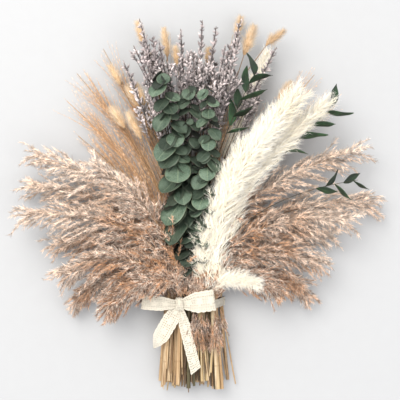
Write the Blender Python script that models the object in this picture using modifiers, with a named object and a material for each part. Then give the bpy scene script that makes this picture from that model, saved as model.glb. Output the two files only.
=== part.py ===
"""Hand-tied bunch of dried reed, pampas grass, straw grass, bunny tails, lavender, eucalyptus and ruscus.

The bunch lies on a table with its heads towards +Y and its cut stems towards -Y. A lace ribbon ties it, and the
origin is on the table under that tie. Metres, +Z up. Every plant is one object that holds its stem and its head.

How it is laid out:
- LAYOUT says where the tip of every plant is.
- pack_at_tie() slides the stems together inside the ribbon, as a hand does.
- route() bends each stem from its cut end, straight through the tie, to its tip.
- Space holds every rod already placed, so that a new twig, leaf or floret is shortened until it clears the others.
"""

import math
import random
from dataclasses import dataclass, field

import bmesh
import bpy
import numpy as np
from mathutils import Matrix, Vector

MM = 0.001
SEED = 11

# The tie
RIBBON_THICKNESS = 0.8 * MM
TIE_HALF_WIDTH = 8 * MM
TIE_OFFSET = 4 * MM  # the tie's middle stands this far to the +X side of the origin
TIE_GAP = 0.35 * MM  # between the ribbon and the stems inside it
STEM_GAP = 0.3 * MM  # between two stems inside the tie
STRAIGHT_PAST_TIE = 12 * MM  # stems run straight this far beyond the middle of the tie
TIE_FLATTENING = 0.55  # the lying bunch is squeezed, so heads count this much less in height

# The cut stems below the tie
CUT_LENGTH = 108 * MM
CUT_VARIES = 6 * MM
FLARE = 1.22  # how much wider the stems stand at their cut ends than in the tie
CUT_SAG = 0.9 * MM

# Routes above the tie
CURL = 1.6  # tip heading: this many times further round from +Y than the straight line to the tip
HANDLE = 0.38  # Bezier handles, as a share of the straight length
POINTS_ABOVE_TIE = 7
TWIN_LEAVES = 0.5  # where along a stem a second stalk leaves it

# Clearances between plants
AIR = 0.8 * MM
LENGTHS_TRIED = (1.0, 0.82, 0.66, 0.5, 0.36)
STEM_AIR = 0.7 * MM  # between two stems above the tie
SPREAD_ROUNDS = 160
TABLE_CLEARANCE = 0.1 * MM
GOLDEN_ANGLE = math.radians(137.508)

LEAF_THICKNESS = 0.8 * MM
FACING_UP = 1.1  # how far the round leaves turn their faces up
LEAF_PROPORTION = {"eucalyptus": 0.92, "ruscus": 0.3}  # width to length


@dataclass(frozen=True)
class Kind:
    """How one sort of plant is built."""

    stem_radius: float
    tip_radius: float
    head_length: float
    bevel_resolution: int
    color: tuple
    roughness: float
    twigs: int = 0
    twig_length: float = 0.0
    twig_radius: float = 1.5 * MM
    lean: float = 30.0  # degrees between a twig and its stem
    core_radius: float = 0.0  # of a dense head's core
    leaf_size: float = 0.0


KINDS = {
    "reed": Kind(3.1 * MM, 0.8 * MM, 175 * MM, 1, (0.50, 0.36, 0.27, 1), 0.9, 18, 46 * MM, 1.9 * MM, 31),
    "pampas": Kind(3.6 * MM, 1.0 * MM, 235 * MM, 1, (0.90, 0.85, 0.74, 1), 0.95, 47, 47 * MM, 2.2 * MM, 33, 7 * MM),
    "straw": Kind(2.2 * MM, 0.7 * MM, 190 * MM, 0, (0.72, 0.55, 0.37, 1), 0.85, 10, 105 * MM, 1.2 * MM, 11),
    "bunny": Kind(1.3 * MM, 0.9 * MM, 33 * MM, 0, (0.75, 0.52, 0.28, 1), 0.95, 3, 17 * MM, 1.6 * MM, 36, 5.8 * MM),
    "lavender": Kind(1.5 * MM, 0.9 * MM, 72 * MM, 0, (0.36, 0.31, 0.36, 1), 0.9, 6, 12 * MM, 2.2 * MM, 36, 2.4 * MM),
    "eucalyptus": Kind(2.6 * MM, 1.0 * MM, 225 * MM, 1, (0.22, 0.34, 0.27, 1), 0.6, 18, leaf_size=30 * MM),
    "ruscus": Kind(1.8 * MM, 0.8 * MM, 85 * MM, 0, (0.05, 0.15, 0.07, 1), 0.5, 7, leaf_size=33 * MM),
}
RIBBON = -1  # the ribbon's number among the owners of rods
RIBBON_COLOR = (0.86, 0.82, 0.70, 1)


@dataclass(frozen=True)
class Place:
    """Where a plant's tip lies, in millimetres, with what sets it apart from its kind."""

    tip: tuple
    head: float = 1.0  # its head's length, times that of its kind
    girth: float = 1.0  # its head's thickness, times that of its kind
    heading: float = None  # plan heading of the tip in degrees, where CURL doesn't give it
    twin: tuple = None  # the tip of a second head, on a stalk that leaves this one's stem


LAYOUT = {
    "reed_plume_left": ("reed", (
        Place((-200, 195, 54)),
        Place((-206, 156, 26)),
        Place((-214, 117, 60), 1.1),
        Place((-174, 80, 24)),
        Place((-160, 42, 62)),
        Place((-150, 0, 26)),
        Place((-104, -6, 50)),
        Place((-122, 184, 66)),
        Place((-62, 28, 66), 0.62),
    )),
    "reed_plume_right": ("reed", (
        Place((215, 201, 46)),
        Place((240, 132, 26)),
        Place((205, 112, 60)),
        Place((180, 90, 22)),
        Place((166, 56, 52)),
        Place((153, 12, 26)),
        Place((112, 18, 56)),
    )),
    "pampas_plume": ("pampas", (
        Place((130, 262, 102), 1.05, 1.0),
        Place((172, 254, 76), 0.85, 0.8),
        Place((101, 329, 24), 0.55, 0.5),
        Place((45, 287, 27), 0.45, 0.45),
        Place((82, 30, 62), 0.36, 0.6, -20),
    )),
    "straw_spray": ("straw", (
        Place((-150, 222, 14)),
        Place((-164, 268, 20)),
        Place((-152, 306, 12)),
        Place((-116, 338, 18)),
        Place((62, 268, 20)),
        Place((166, 304, 14)),
        Place((196, 272, 20)),
    )),
    "bunny_tail": ("bunny", (
        Place((-72, 378, 34), 1.2, twin=(-36, 370, 30)),
        Place((-57, 334, 44)),
        Place((-20, 343, 36), 0.9),
        Place((25, 340, 38), 0.8, twin=(32, 292, 38)),
        Place((69, 385, 22), 1.0, 1.1),
        Place((86, 371, 40), 1.3, 1.3),
        Place((128, 361, 48), 1.1, 1.0, 35),
        Place((136, 296, 38)),
        Place((-108, 318, 36)),
        Place((-72, 290, 54), 1.0, 1.1),
        Place((-106, 262, 36), 1.0, 1.2, twin=(-92, 292, 26)),
        Place((-84, 256, 52), 1.2, 1.1),
        Place((-58, 268, 34), 1.0, 1.2),
    )),
    "lavender": ("lavender", (
        Place((-65, 370, 62), twin=(-72, 334, 70)),
        Place((-86, 316, 64), twin=(-52, 300, 68)),
        Place((-40, 342, 58), twin=(-30, 316, 68)),
        Place((-12, 357, 60), twin=(6, 304, 70)),
        Place((16, 368, 62), twin=(22, 318, 70)),
        Place((34, 362, 52), twin=(42, 302, 58)),
        Place((66, 370, 62)),
        Place((46, 336, 66), twin=(62, 300, 72)),
        Place((112, 334, 58)),
        Place((-14, 316, 50)),
    )),
    "eucalyptus": ("eucalyptus", (
        Place((-36, 303, 84), 0.85),
        Place((-1, 284, 78)),
        Place((20, 282, 92), 0.95, 0.9, 100),
    )),
    "ruscus": ("ruscus", (
        Place((84, 300, 82), 1.1, 1.0, 62),
        Place((184, 262, 78), 1.1, 1.0, 50),
        Place((214, 162, 76), 0.7, 0.8),
    )),
}


@dataclass
class Stem:
    """One stem: the plant it belongs to, the points it runs through, and the head it bears."""

    kind_name: str
    place: Place
    owner: int
    tip: Vector
    facing: float = 0.0
    line: list = field(default_factory=list)
    radii: list = field(default_factory=list)
    twigs: list = field(default_factory=list)  # (root, end) of each twig, bristle or floret
    leaves: list = field(default_factory=list)  # (root, direction, normal, length) of each leaf

    @property
    def kind(self):
        """The sort of plant it is."""
        return KINDS[self.kind_name]

    @property
    def head_length(self):
        """Length of stem that bears the head."""
        return self.kind.head_length * self.place.head

    @property
    def core(self):
        """Radius of the head's core, 0 for an open head."""
        return self.kind.core_radius * self.place.girth

    def lengths(self):
        """Distance along the stem to each point of its line."""
        steps = [(b - a).length for a, b in zip(self.line, self.line[1:])]
        return [0.0, *np.cumsum(steps)]

    def at_length(self, wanted):
        """(point, direction, radius) at a distance along the stem."""
        along = self.lengths()
        index = min(max(int(np.searchsorted(along, wanted)), 1), len(along) - 1)
        start, end = self.line[index - 1], self.line[index]
        part = (wanted - along[index - 1]) / (along[index] - along[index - 1])
        radius = self.radii[index - 1] + (self.radii[index] - self.radii[index - 1]) * part
        return start.lerp(end, part), (end - start).normalized(), radius

    def at_head(self, share):
        """(point, direction, radius) at a share of the head's length from its foot to the tip."""
        return self.at_length(self.lengths()[-1] - self.head_length * (1 - share))

    def set_radii(self):
        """Thins the stem along its head, or swells it to the head's core."""
        along = self.lengths()
        foot = along[-1] - self.head_length
        for distance in along:
            share = max(0.0, (distance - foot) / self.head_length)
            radius = self.kind.stem_radius + (self.kind.tip_radius - self.kind.stem_radius) * share
            if share > 0:
                radius = max(radius, self.core * math.sin(math.pi * min(share * 0.9 + 0.08, 1.0)) ** 0.6)
            self.radii.append(radius)


@dataclass
class Plant:
    """One plant of the bunch: its place in the tie and its stems, the first of which runs to the cut end."""

    name: str
    kind_name: str
    place: Place
    at_tie: Vector = None
    facing: float = 0.0  # the way to the stem that it meets in the tie, which a corner of its section points at
    stems: list = field(default_factory=list)

    @property
    def kind(self):
        """The sort of plant it is."""
        return KINDS[self.kind_name]


class Space:
    """Everything placed so far, as rods, so that nothing new runs into another plant."""

    def __init__(self):
        self.starts = np.zeros((0, 3))
        self.ends = np.zeros((0, 3))
        self.radii = np.zeros(0)
        self.owners = np.zeros(0, int)

    def add(self, owner, start, end, radius):
        """Takes up a rod for the plant numbered owner."""
        self.starts = np.vstack([self.starts, start])
        self.ends = np.vstack([self.ends, end])
        self.radii = np.append(self.radii, radius)
        self.owners = np.append(self.owners, owner)

    def gap(self, owner, start, end, radius):
        """Smallest gap from a rod to what other owners hold, by the closest points of two segments."""
        others = self.owners != owner
        starts, ends = self.starts[others], self.ends[others]
        start, end = np.array(start), np.array(end)
        along, theirs, between = end - start, ends - starts, start - starts
        tiny = 1e-12
        a = along @ along + tiny
        e = (theirs * theirs).sum(1) + tiny
        f = (theirs * between).sum(1)
        c = between @ along
        b = theirs @ along
        s = np.clip((b * f - c * e) / np.maximum(a * e - b * b, tiny), 0, 1)
        t = np.clip((b * s + f) / e, 0, 1)
        s = np.clip((b * t - c) / a, 0, 1)
        apart = start + s[:, None] * along - starts - t[:, None] * theirs
        return (np.linalg.norm(apart, axis=1) - self.radii[others] - radius).min(initial=1.0)


# ---------------------------------------------------------------- layout


def make_plants():
    """Every plant of LAYOUT, named and numbered."""
    plants = []
    for name, (kind_name, places) in LAYOUT.items():
        for number, place in enumerate(places, 1):
            plants.append(Plant(f"{name}_{number}", kind_name, place))
    return plants


def pack_at_tie(plants):
    """Slides each stem in towards the middle of the tie until it meets one already there.

    Those that stand straightest go in first, so the ones that spread widest are outermost and no two cross.
    """
    def spread(plant):
        """How far a plant leans away from +Y."""
        x, y, z = plant.place.tip
        return math.atan2(math.hypot(x, z * TIE_FLATTENING), y)

    middle = sum(plant.place.tip[2] for plant in plants) / len(plants)
    step = 0.05 * MM
    placed = []
    for plant in sorted(plants, key=spread):
        x, _, z = plant.place.tip
        toward = Vector((x, (z - middle) * 3)).normalized()
        distance, met = 60 * MM, None
        while distance > 0 and met is None:
            distance -= step
            room = plant.kind.stem_radius + STEM_GAP
            met = next((spot for spot, r in placed if (toward * distance - spot).length < room + r), None)
        spot = toward * max(distance + step, 0.0)
        if met is not None:
            plant.facing = math.atan2(met.y - spot.y, met.x - spot.x)
        placed.append((spot, plant.kind.stem_radius))
        plant.at_tie = Vector((spot.x, 0, spot.y))
    left = min(plant.at_tie.x - plant.kind.stem_radius for plant in plants)
    right = max(plant.at_tie.x + plant.kind.stem_radius for plant in plants)
    low = min(plant.at_tie.z - plant.kind.stem_radius for plant in plants)
    shift = Vector((TIE_OFFSET - (left + right) / 2, 0, RIBBON_THICKNESS + TIE_GAP - low))
    for plant in plants:
        plant.at_tie = plant.at_tie + shift


def bezier(points, share):
    """A point on a cubic Bezier curve."""
    a, b, c, d = points
    rest = 1 - share
    return a * rest**3 + b * 3 * rest**2 * share + c * 3 * rest * share**2 + d * share**3


def tip_way(start, tip, heading):
    """The direction of a stem's tip: its heading in plan, and part of the straight line's rise."""
    span = tip - start
    if heading is None:
        straight = math.degrees(math.atan2(span.y, span.x))
        if straight < -90:
            straight += 360
        heading = 90 + CURL * (straight - 90)
    turn = math.radians(heading)
    return Vector((math.cos(turn), math.sin(turn), 0.6 * span.z / span.length)).normalized()


def points_to_head(start, start_way, stem):
    """The points of a stem from start to its tip: evenly up to its head, then closer along a dense head."""
    span = stem.tip - start
    reach = HANDLE * span.length
    end_way = tip_way(start, stem.tip, stem.place.heading)
    handles = (start, start + start_way * reach, stem.tip - end_way * reach, stem.tip)
    head = min(stem.head_length / (span.length * 1.06), 0.95)
    if stem.kind_name == "bunny":
        shares = [k / 3 * (1 - head) for k in range(4)] + [1 - head * rest for rest in (0.72, 0.4, 0.12)]
    elif stem.kind_name == "lavender":
        shares = [k / 3 * (1 - head) for k in range(4)] + [1 - head * rest for rest in (0.75, 0.35, 0.0)]
    else:
        shares = [k / POINTS_ABOVE_TIE for k in range(POINTS_ABOVE_TIE + 1)]
    return [bezier(handles, share) for share in shares]


def route(plant, owner, rng):
    """Adds the plant's main stem: cut end, straight through the tie, then one curve to the tip."""
    tie = plant.at_tie
    stem = Stem(plant.kind_name, plant.place, owner, Vector(plant.place.tip) * MM, plant.facing)
    cut = Vector((tie.x * FLARE, -CUT_LENGTH + rng.uniform(-CUT_VARIES, CUT_VARIES), tie.z - CUT_SAG))
    leaving = tie + Vector((0, STRAIGHT_PAST_TIE, 0))
    stem.line = [cut, tie - Vector((0, 1.3 * TIE_HALF_WIDTH, 0))]
    stem.line += points_to_head(leaving, Vector((0, 1, 0)), stem)
    stem.set_radii()
    plant.stems.append(stem)


def branch(plant, owner):
    """Adds the plant's second stalk, which leaves the main stem part of the way up."""
    main = plant.stems[0]
    tip = Vector(plant.place.twin) * MM
    start, way, radius = main.at_length(main.lengths()[-1] * TWIN_LEAVES)
    stem = Stem(plant.kind_name, Place(plant.place.twin, plant.place.head, plant.place.girth), owner, tip)
    stem.line = points_to_head(start, way, stem)
    stem.set_radii()
    plant.stems.append(stem)


def closest(starts, ends):
    """For every pair of rods: where along each they come closest, and the way from the second to the first."""
    along = ends - starts
    own, theirs = along[:, None], along[None, :]
    between = starts[:, None] - starts[None, :]
    a = (own * own).sum(2) + 1e-12
    e = (theirs * theirs).sum(2) + 1e-12
    b, c, f = (own * theirs).sum(2), (own * between).sum(2), (theirs * between).sum(2)
    s = np.clip((b * f - c * e) / np.maximum(a * e - b * b, 1e-12), 0, 1)
    t = np.clip((b * s + f) / e, 0, 1)
    s = np.clip((b * t - c) / a, 0, 1)
    return s, t, between + s[..., None] * own - t[..., None] * theirs


def stem_rods(stem):
    """The stem's own rods, as (start, end, radius, owner)."""
    return [
        (start, end, max(a, b), stem.owner)
        for start, end, a, b in zip(stem.line, stem.line[1:], stem.radii, stem.radii[1:])
    ]


def spread_apart(stems, fixed, held_points):
    """Pushes the stems apart until none comes within STEM_AIR of another, or of the fixed rods."""
    points = np.array([point for stem in stems for point in stem.line])
    counts = [len(stem.line) for stem in stems]
    offsets = np.cumsum([0, *counts])[:-1]
    firsts = np.array([first + k for first, count in zip(offsets, counts) for k in range(count - 1)])
    held = np.array([k < held_points for count in counts for k in range(count)])
    floors = np.array([radius for stem in stems for radius in stem.radii]) + STEM_AIR
    rods = [rod for stem in stems for rod in stem_rods(stem)] + list(fixed)
    radii = np.array([rod[2] for rod in rods])
    owners = np.array([rod[3] for rod in rods])
    fixed_starts = np.array([rod[0] for rod in fixed])
    fixed_ends = np.array([rod[1] for rod in fixed])
    apart_from = radii[:, None] + radii[None, :] + STEM_AIR
    other = owners[:, None] != owners[None, :]
    for _ in range(SPREAD_ROUNDS):
        starts = np.vstack([points[firsts], fixed_starts])
        ends = np.vstack([points[firsts + 1], fixed_ends])
        s, t, way = closest(starts, ends)
        distance = np.linalg.norm(way, axis=2)
        lacking = np.where(other, np.maximum(apart_from - distance, 0), 0)
        push = way / np.maximum(distance, 1e-9)[..., None] * (lacking * 0.6)[..., None]
        count = len(firsts)
        moves = np.zeros_like(points)
        np.add.at(moves, firsts, (push * (1 - s)[..., None]).sum(1)[:count])
        np.add.at(moves, firsts + 1, (push * s[..., None]).sum(1)[:count])
        moves[held] = 0
        longest = np.linalg.norm(moves, axis=1, keepdims=True)
        points += moves * np.minimum(1, 2 * MM / np.maximum(longest, 1e-9))
        points[:, 2] = np.where(held, points[:, 2], np.maximum(points[:, 2], floors))
        if longest.max() < 0.05 * MM:
            break
    for stem, first, count in zip(stems, offsets, counts):
        stem.line = [Vector(point) for point in points[first:first + count]]


def frame_of(direction):
    """Two directions across a stem: sideways, and towards the upper side."""
    side = direction.cross(Vector((0, 0, 1))).normalized()
    return side, side.cross(direction).normalized()


# ---------------------------------------------------------------- growth


def head_width(kind_name, share):
    """How long the twigs are along a head, from its foot to its tip."""
    if kind_name == "reed":
        return 0.5 + 0.5 * math.sin(math.pi * min(1.0, 0.15 + share * 0.8))
    if kind_name == "pampas":
        return 0.55 + 0.45 * math.sin(math.pi * (0.1 + share * 0.75))
    if kind_name == "straw":
        return 1.0 - 0.45 * share
    return 1.0


def grow_twig(space, stem, index, rng):
    """Adds one twig, shortened until it clears every other plant and the table."""
    kind = stem.kind
    count = max(3, round(kind.twigs * stem.place.head)) if stem.core else kind.twigs
    if index >= count:
        return
    share = (index + 0.35) / count
    if stem.kind_name == "straw":
        share *= 0.6
    root, way, stem_radius = stem.at_head(share * 0.97)
    side, up = frame_of(way)
    turn = index * GOLDEN_ANGLE + rng.uniform(-0.3, 0.3)
    lean = math.radians(kind.lean * (1.1 - 0.45 * share) * rng.uniform(0.85, 1.15))
    across = side * math.cos(turn) + up * math.sin(turn)
    end_way = (way * math.cos(lean) + across * math.sin(lean)).normalized()
    full = kind.twig_length * head_width(stem.kind_name, share) * rng.uniform(0.85, 1.1)
    full *= stem.place.girth if stem.core else 1.0
    radius = min(kind.twig_radius, 0.85 * stem_radius)
    shortest = 1.2 * stem_radius / math.sin(lean) + radius
    for portion in LENGTHS_TRIED:
        end = root + end_way * full * portion
        if end.z < TABLE_CLEARANCE:
            end = root.lerp(end, (root.z - TABLE_CLEARANCE) / (root.z - end.z))
        if (end - root).length < shortest:
            return
        if space.gap(stem.owner, root, end, radius) > AIR:
            space.add(stem.owner, root, end, radius)
            stem.twigs.append((root, end, radius))
            return


def leaf_rods(root, way, normal, length, width):
    """Rods that cover a leaf: three along it, side by side."""
    across = way.cross(normal).normalized()
    for offset in (-0.3, 0.0, 0.3):
        shift = across * width * offset
        yield root + shift + way * length * 0.12, root + shift + way * length * 0.9


def grow_leaf(space, stem, index, rng):
    """Adds one leaf, made smaller until it clears every other plant and the table."""
    kind = stem.kind
    count = round(kind.twigs * stem.place.head)
    if index >= count:
        return
    round_leaf = stem.kind_name == "eucalyptus"
    share = (index + 0.5) / count
    root, way, _ = stem.at_head(share)
    side, up = frame_of(way)
    if round_leaf:
        turn = math.radians((25, 155, 90)[index % 3] + rng.uniform(-15, 15))
        reflex = math.radians(rng.uniform(32, 48))
        size = kind.leaf_size * (1.0 - 0.45 * share)
    else:
        turn = math.radians((0, 180)[index % 2] + rng.uniform(15, 60))
        reflex = math.radians(rng.uniform(-58, -30))
        size = kind.leaf_size * rng.uniform(0.75, 1.1)
    radial = side * math.cos(turn) + up * math.sin(turn)
    leaf_way = radial * math.cos(reflex) - way * math.sin(reflex)
    normal = radial * math.sin(reflex) + way * math.cos(reflex) + up * FACING_UP
    normal = (normal - leaf_way * normal.dot(leaf_way)).normalized()
    if not round_leaf:
        normal = leaf_way.cross(side * math.sin(turn) - up * math.cos(turn)).normalized()
    for portion in LENGTHS_TRIED[:4]:
        length = size * portion * stem.place.girth
        width = length * LEAF_PROPORTION[stem.kind_name]
        thick = max(0.16 * width, 1.0 * MM)
        rods = list(leaf_rods(root, leaf_way, normal, length, width))
        low = min(min(a.z, b.z) for a, b in rods)
        if low > thick and all(space.gap(stem.owner, a, b, thick) > AIR for a, b in rods):
            for a, b in rods:
                space.add(stem.owner, a, b, thick)
            stem.leaves.append((root, leaf_way, normal, length))
            return


def grow_everything(plants, fixed):
    """Takes up the stems and the ribbon first, and then lets every stem grow one twig or leaf in turn."""
    space = Space()
    rng = random.Random(SEED)
    stems = [stem for plant in plants for stem in plant.stems]
    for start, end, radius, owner in [*fixed, *(rod for stem in stems for rod in stem_rods(stem))]:
        space.add(owner, start, end, radius)
    for index in range(max(kind.twigs for kind in KINDS.values()) * 2):
        for stem in stems:
            grow = grow_leaf if stem.kind.leaf_size else grow_twig
            grow(space, stem, index, rng)


# ---------------------------------------------------------------- solids


def clear_scene():
    """Removes whatever the file holds."""
    for obj in list(bpy.data.objects):
        bpy.data.objects.remove(obj)


def collection_named(name):
    """A new collection in the scene."""
    made = bpy.data.collections.new(name)
    bpy.context.scene.collection.children.link(made)
    return made


def material_named(name, color, roughness):
    """A plain material of that colour."""
    made = bpy.data.materials.new(name)
    made.use_nodes = True
    shader = made.node_tree.nodes["Principled BSDF"]
    shader.inputs["Base Color"].default_value = color
    shader.inputs["Roughness"].default_value = roughness
    return made


def as_mesh_object(source, collection, name):
    """A mesh object made from a curve or from an object with modifiers, with doubles merged. The source is removed."""
    graph = bpy.context.evaluated_depsgraph_get()
    mesh = bpy.data.meshes.new_from_object(source.evaluated_get(graph))
    matrix = source.matrix_world.copy()
    bpy.data.objects.remove(source)
    made = bpy.data.objects.new(name, mesh)
    made.matrix_world = matrix
    collection.objects.link(made)
    shape = bmesh.new()
    shape.from_mesh(mesh)
    bmesh.ops.remove_doubles(shape, verts=shape.verts, dist=1e-6)
    bmesh.ops.recalc_face_normals(shape, faces=shape.faces)
    shape.to_mesh(mesh)
    shape.free()
    return made


def stem_object(stem, name, collection):
    """The stem as a bevelled curve through its line, made a mesh."""
    data = bpy.data.curves.new("stem", "CURVE")
    data.dimensions = "3D"
    data.bevel_depth = 1.0
    data.bevel_resolution = stem.kind.bevel_resolution
    data.use_fill_caps = True
    spline = data.splines.new("POLY")
    spline.points.add(len(stem.line) - 1)
    for point, where, radius in zip(spline.points, stem.line, stem.radii):
        point.co = (*where, 1)
        point.radius = radius
        point.tilt = -stem.facing
    source = bpy.data.objects.new("stem", data)
    collection.objects.link(source)
    bpy.context.view_layer.update()
    return as_mesh_object(source, collection, name)


def cone_mesh(sides, radius, end_radius=0.0):
    """A cone of unit length from the origin along +Z."""
    mesh = bpy.data.meshes.new("cone")
    shape = bmesh.new()
    bmesh.ops.create_cone(
        shape, cap_ends=True, segments=sides, radius1=radius, radius2=end_radius, depth=1.0,
        matrix=Matrix.Translation((0, 0, 0.5)),
    )
    shape.to_mesh(mesh)
    shape.free()
    return mesh


def leaf_mesh(half):
    """A flat leaf of unit length, width and thickness, from one half of its outline (along, across) root to tip."""
    outline = [(x, y) for x, y in half] + [(x, -y) for x, y in reversed(half) if y > 0]
    mesh = bpy.data.meshes.new("leaf")
    shape = bmesh.new()
    face = shape.faces.new([shape.verts.new((x, y, -0.5)) for x, y in outline])
    raised = bmesh.ops.extrude_face_region(shape, geom=[face])["geom"]
    bmesh.ops.translate(shape, verts=[v for v in raised if isinstance(v, bmesh.types.BMVert)], vec=(0, 0, 1))
    bmesh.ops.recalc_face_normals(shape, faces=shape.faces)
    shape.to_mesh(mesh)
    shape.free()
    return mesh


def ball_mesh(segments, rings):
    """A ball of radius 1."""
    mesh = bpy.data.meshes.new("ball")
    shape = bmesh.new()
    bmesh.ops.create_uvsphere(shape, u_segments=segments, v_segments=rings, radius=1.0)
    shape.to_mesh(mesh)
    shape.free()
    return mesh


def placed_copy(mesh, collection, origin, z_way, x_way, scale):
    """A copy of a mesh turned so that its +Z and +X run along two ways, with its scale applied."""
    y_way = z_way.cross(x_way).normalized()
    x_way = y_way.cross(z_way).normalized()
    turned = Matrix((x_way, y_way, z_way)).transposed().to_4x4()
    matrix = Matrix.Translation(origin) @ turned @ Matrix.Diagonal((*scale, 1))
    copy = mesh.copy()
    copy.transform(matrix)
    made = bpy.data.objects.new("repeat", copy)
    collection.objects.link(made)
    return made


def unite(base, repeats, solver):
    """Joins every object of a collection to base by one Boolean union, applied, and removes them."""
    if not repeats.objects:
        return
    cut = base.modifiers.new("union", "BOOLEAN")
    cut.operation = "UNION"
    cut.operand_type = "COLLECTION"
    cut.collection = repeats
    cut.solver = solver
    bpy.context.view_layer.update()
    graph = bpy.context.evaluated_depsgraph_get()
    mesh = bpy.data.meshes.new_from_object(base.evaluated_get(graph))
    base.modifiers.remove(cut)
    base.data = mesh
    for obj in list(repeats.objects):
        bpy.data.objects.remove(obj)


def build_plant(plant, bunch, repeats, shapes, materials):
    """One plant as one closed body: its stem with everything that grows on it."""
    base = stem_object(plant.stems[0], plant.name, bunch)
    for stem in plant.stems[1:]:
        stem_object(stem, "stalk", repeats)
    for stem in plant.stems:
        for root, end, radius in stem.twigs:
            way = end - root
            across, _ = frame_of(way.normalized())
            size = (radius, radius, way.length)
            placed_copy(shapes["twig"], repeats, root, way.normalized(), across, size)
        for root, way, normal, length in stem.leaves:
            size = (length, length * LEAF_PROPORTION[plant.kind_name], LEAF_THICKNESS)
            placed_copy(shapes[plant.kind_name], repeats, root, normal, way, size)
    unite(base, repeats, "MANIFOLD")
    base.data.materials.clear()
    base.data.materials.append(materials[plant.kind_name])
    return base


# ---------------------------------------------------------------- ribbon

KNOT = Vector((-14 * MM, 0, 0))  # its height comes from the stems under it
KNOT_SIZE = Vector((8 * MM, 8.5 * MM, 4.5 * MM))
LOOP_WIDTH = 24 * MM
TAIL_WIDTHS = (23 * MM, 16 * MM)
# Side views of the ribbon's free runs, in millimetres out from the knot and up from it
RIGHT_LOOP = ((0, 0), (10, 4), (24, 9), (38, 10.5), (46, 7), (45, 2.5), (36, 1.5), (20, 0.5), (2, -1))
LEFT_LOOP = ((0, 0), (12, 5), (28, 9), (42, 8), (49, 4), (46, 0.5), (34, 0), (18, 0), (2, -0.5))
LEFT_TAIL = ((0, 0), (12, 2), (26, 3.5), (42, 2), (58, -2), (68, -8))
MIDDLE_TAIL = ((0, 0), (14, 3), (32, 2.5), (52, 3.5), (72, 2.5), (90, 2))
# Plan headings of those runs, in degrees from +X
HEADINGS = {"right_loop": 8, "left_loop": 176, "left_tail": 240, "middle_tail": 284}


def tie_outline(plants):
    """The stems' outline in the tie, as points (x, z) round their hull, a gap outside it."""
    outline = []
    steps = 28
    for k in range(steps):
        angle = 2 * math.pi * k / steps
        way = Vector((math.cos(angle), math.sin(angle)))
        farthest = max(
            plants, key=lambda p: Vector((p.at_tie.x, p.at_tie.z)).dot(way) + p.kind.stem_radius
        )
        spot = Vector((farthest.at_tie.x, farthest.at_tie.z)) + way * (farthest.kind.stem_radius + TIE_GAP)
        if way.y < -0.7:
            spot.y = RIBBON_THICKNESS  # flat underneath, where the bunch rests
        outline.append(spot)
    return outline


def strip_object(points, width, closed, matrix, collection):
    """A strip of ribbon: a flat path in local XY, as wide as width along local Z, with its thickness."""
    data = bpy.data.curves.new("strip", "CURVE")
    data.dimensions = "3D"
    data.extrude = width / 2
    data.twist_mode = "Z_UP"
    spline = data.splines.new("POLY")
    spline.points.add(len(points) - 1)
    for point, (x, y) in zip(spline.points, points):
        point.co = (x, y, 0, 1)
    spline.use_cyclic_u = closed
    source = bpy.data.objects.new("strip", data)
    source.matrix_world = matrix
    collection.objects.link(source)
    bpy.context.view_layer.update()
    surface = as_mesh_object(source, collection, "strip")
    wall = surface.modifiers.new("thickness", "SOLIDIFY")
    wall.thickness = RIBBON_THICKNESS
    wall.offset = 1.0 if closed else 0.0
    wall.use_even_offset = True
    bpy.context.view_layer.update()
    return as_mesh_object(surface, collection, "strip")


def ribbon_top(plants):
    """Where the knot sits: just above the ribbon's band over the stems."""
    outline = tie_outline(plants)
    for start, end in zip(outline, outline[1:] + outline[:1]):
        if end.x <= KNOT.x < start.x:
            top = start.lerp(end, (start.x - KNOT.x) / (start.x - end.x)).y
    return Vector((KNOT.x, KNOT.y, top + RIBBON_THICKNESS + 0.6 * KNOT_SIZE.z))


def run_matrix(knot, name):
    """Puts a side view (out, up) on the table's plan: out along its heading, up along +Z."""
    turn = Matrix.Rotation(math.radians(HEADINGS[name]), 4, "Z")
    return Matrix.Translation(knot) @ turn @ Matrix.Rotation(math.radians(90), 4, "X")


def ribbon_runs():
    """Each free run of the ribbon: its name, its side view and its width."""
    return (
        ("right_loop", RIGHT_LOOP, LOOP_WIDTH),
        ("left_loop", LEFT_LOOP, LOOP_WIDTH * 0.85),
        ("left_tail", LEFT_TAIL, TAIL_WIDTHS[0]),
        ("middle_tail", MIDDLE_TAIL, TAIL_WIDTHS[1]),
    )


def ribbon_rods(plants):
    """Rods that cover the bow, so that plants keep clear of it."""
    knot = ribbon_top(plants)
    rods = [(knot - Vector((0, 4 * MM, 0)), knot + Vector((0, 4 * MM, 0)), KNOT_SIZE.z, RIBBON)]
    for name, side_view, width in ribbon_runs():
        matrix = run_matrix(knot, name)
        points = [Vector((x * MM, y * MM, 0)) for x, y in side_view]
        for start, end in zip(points, points[1:]):
            for offset in (-0.38, 0.0, 0.38):
                shift = Vector((0, 0, width * offset))
                rods.append((matrix @ (start + shift), matrix @ (end + shift), 2.2 * MM, RIBBON))
    return rods


def band_rods(plants):
    """Rods that cover the band round the stems, so that twigs keep clear of it."""
    outline = tie_outline(plants)
    for start, end in zip(outline, outline[1:] + outline[:1]):
        for y in (-0.9 * TIE_HALF_WIDTH, 0.0, 0.9 * TIE_HALF_WIDTH):
            yield Vector((start.x, y, start.y)), Vector((end.x, y, end.y)), 1.6 * MM, RIBBON


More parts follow.
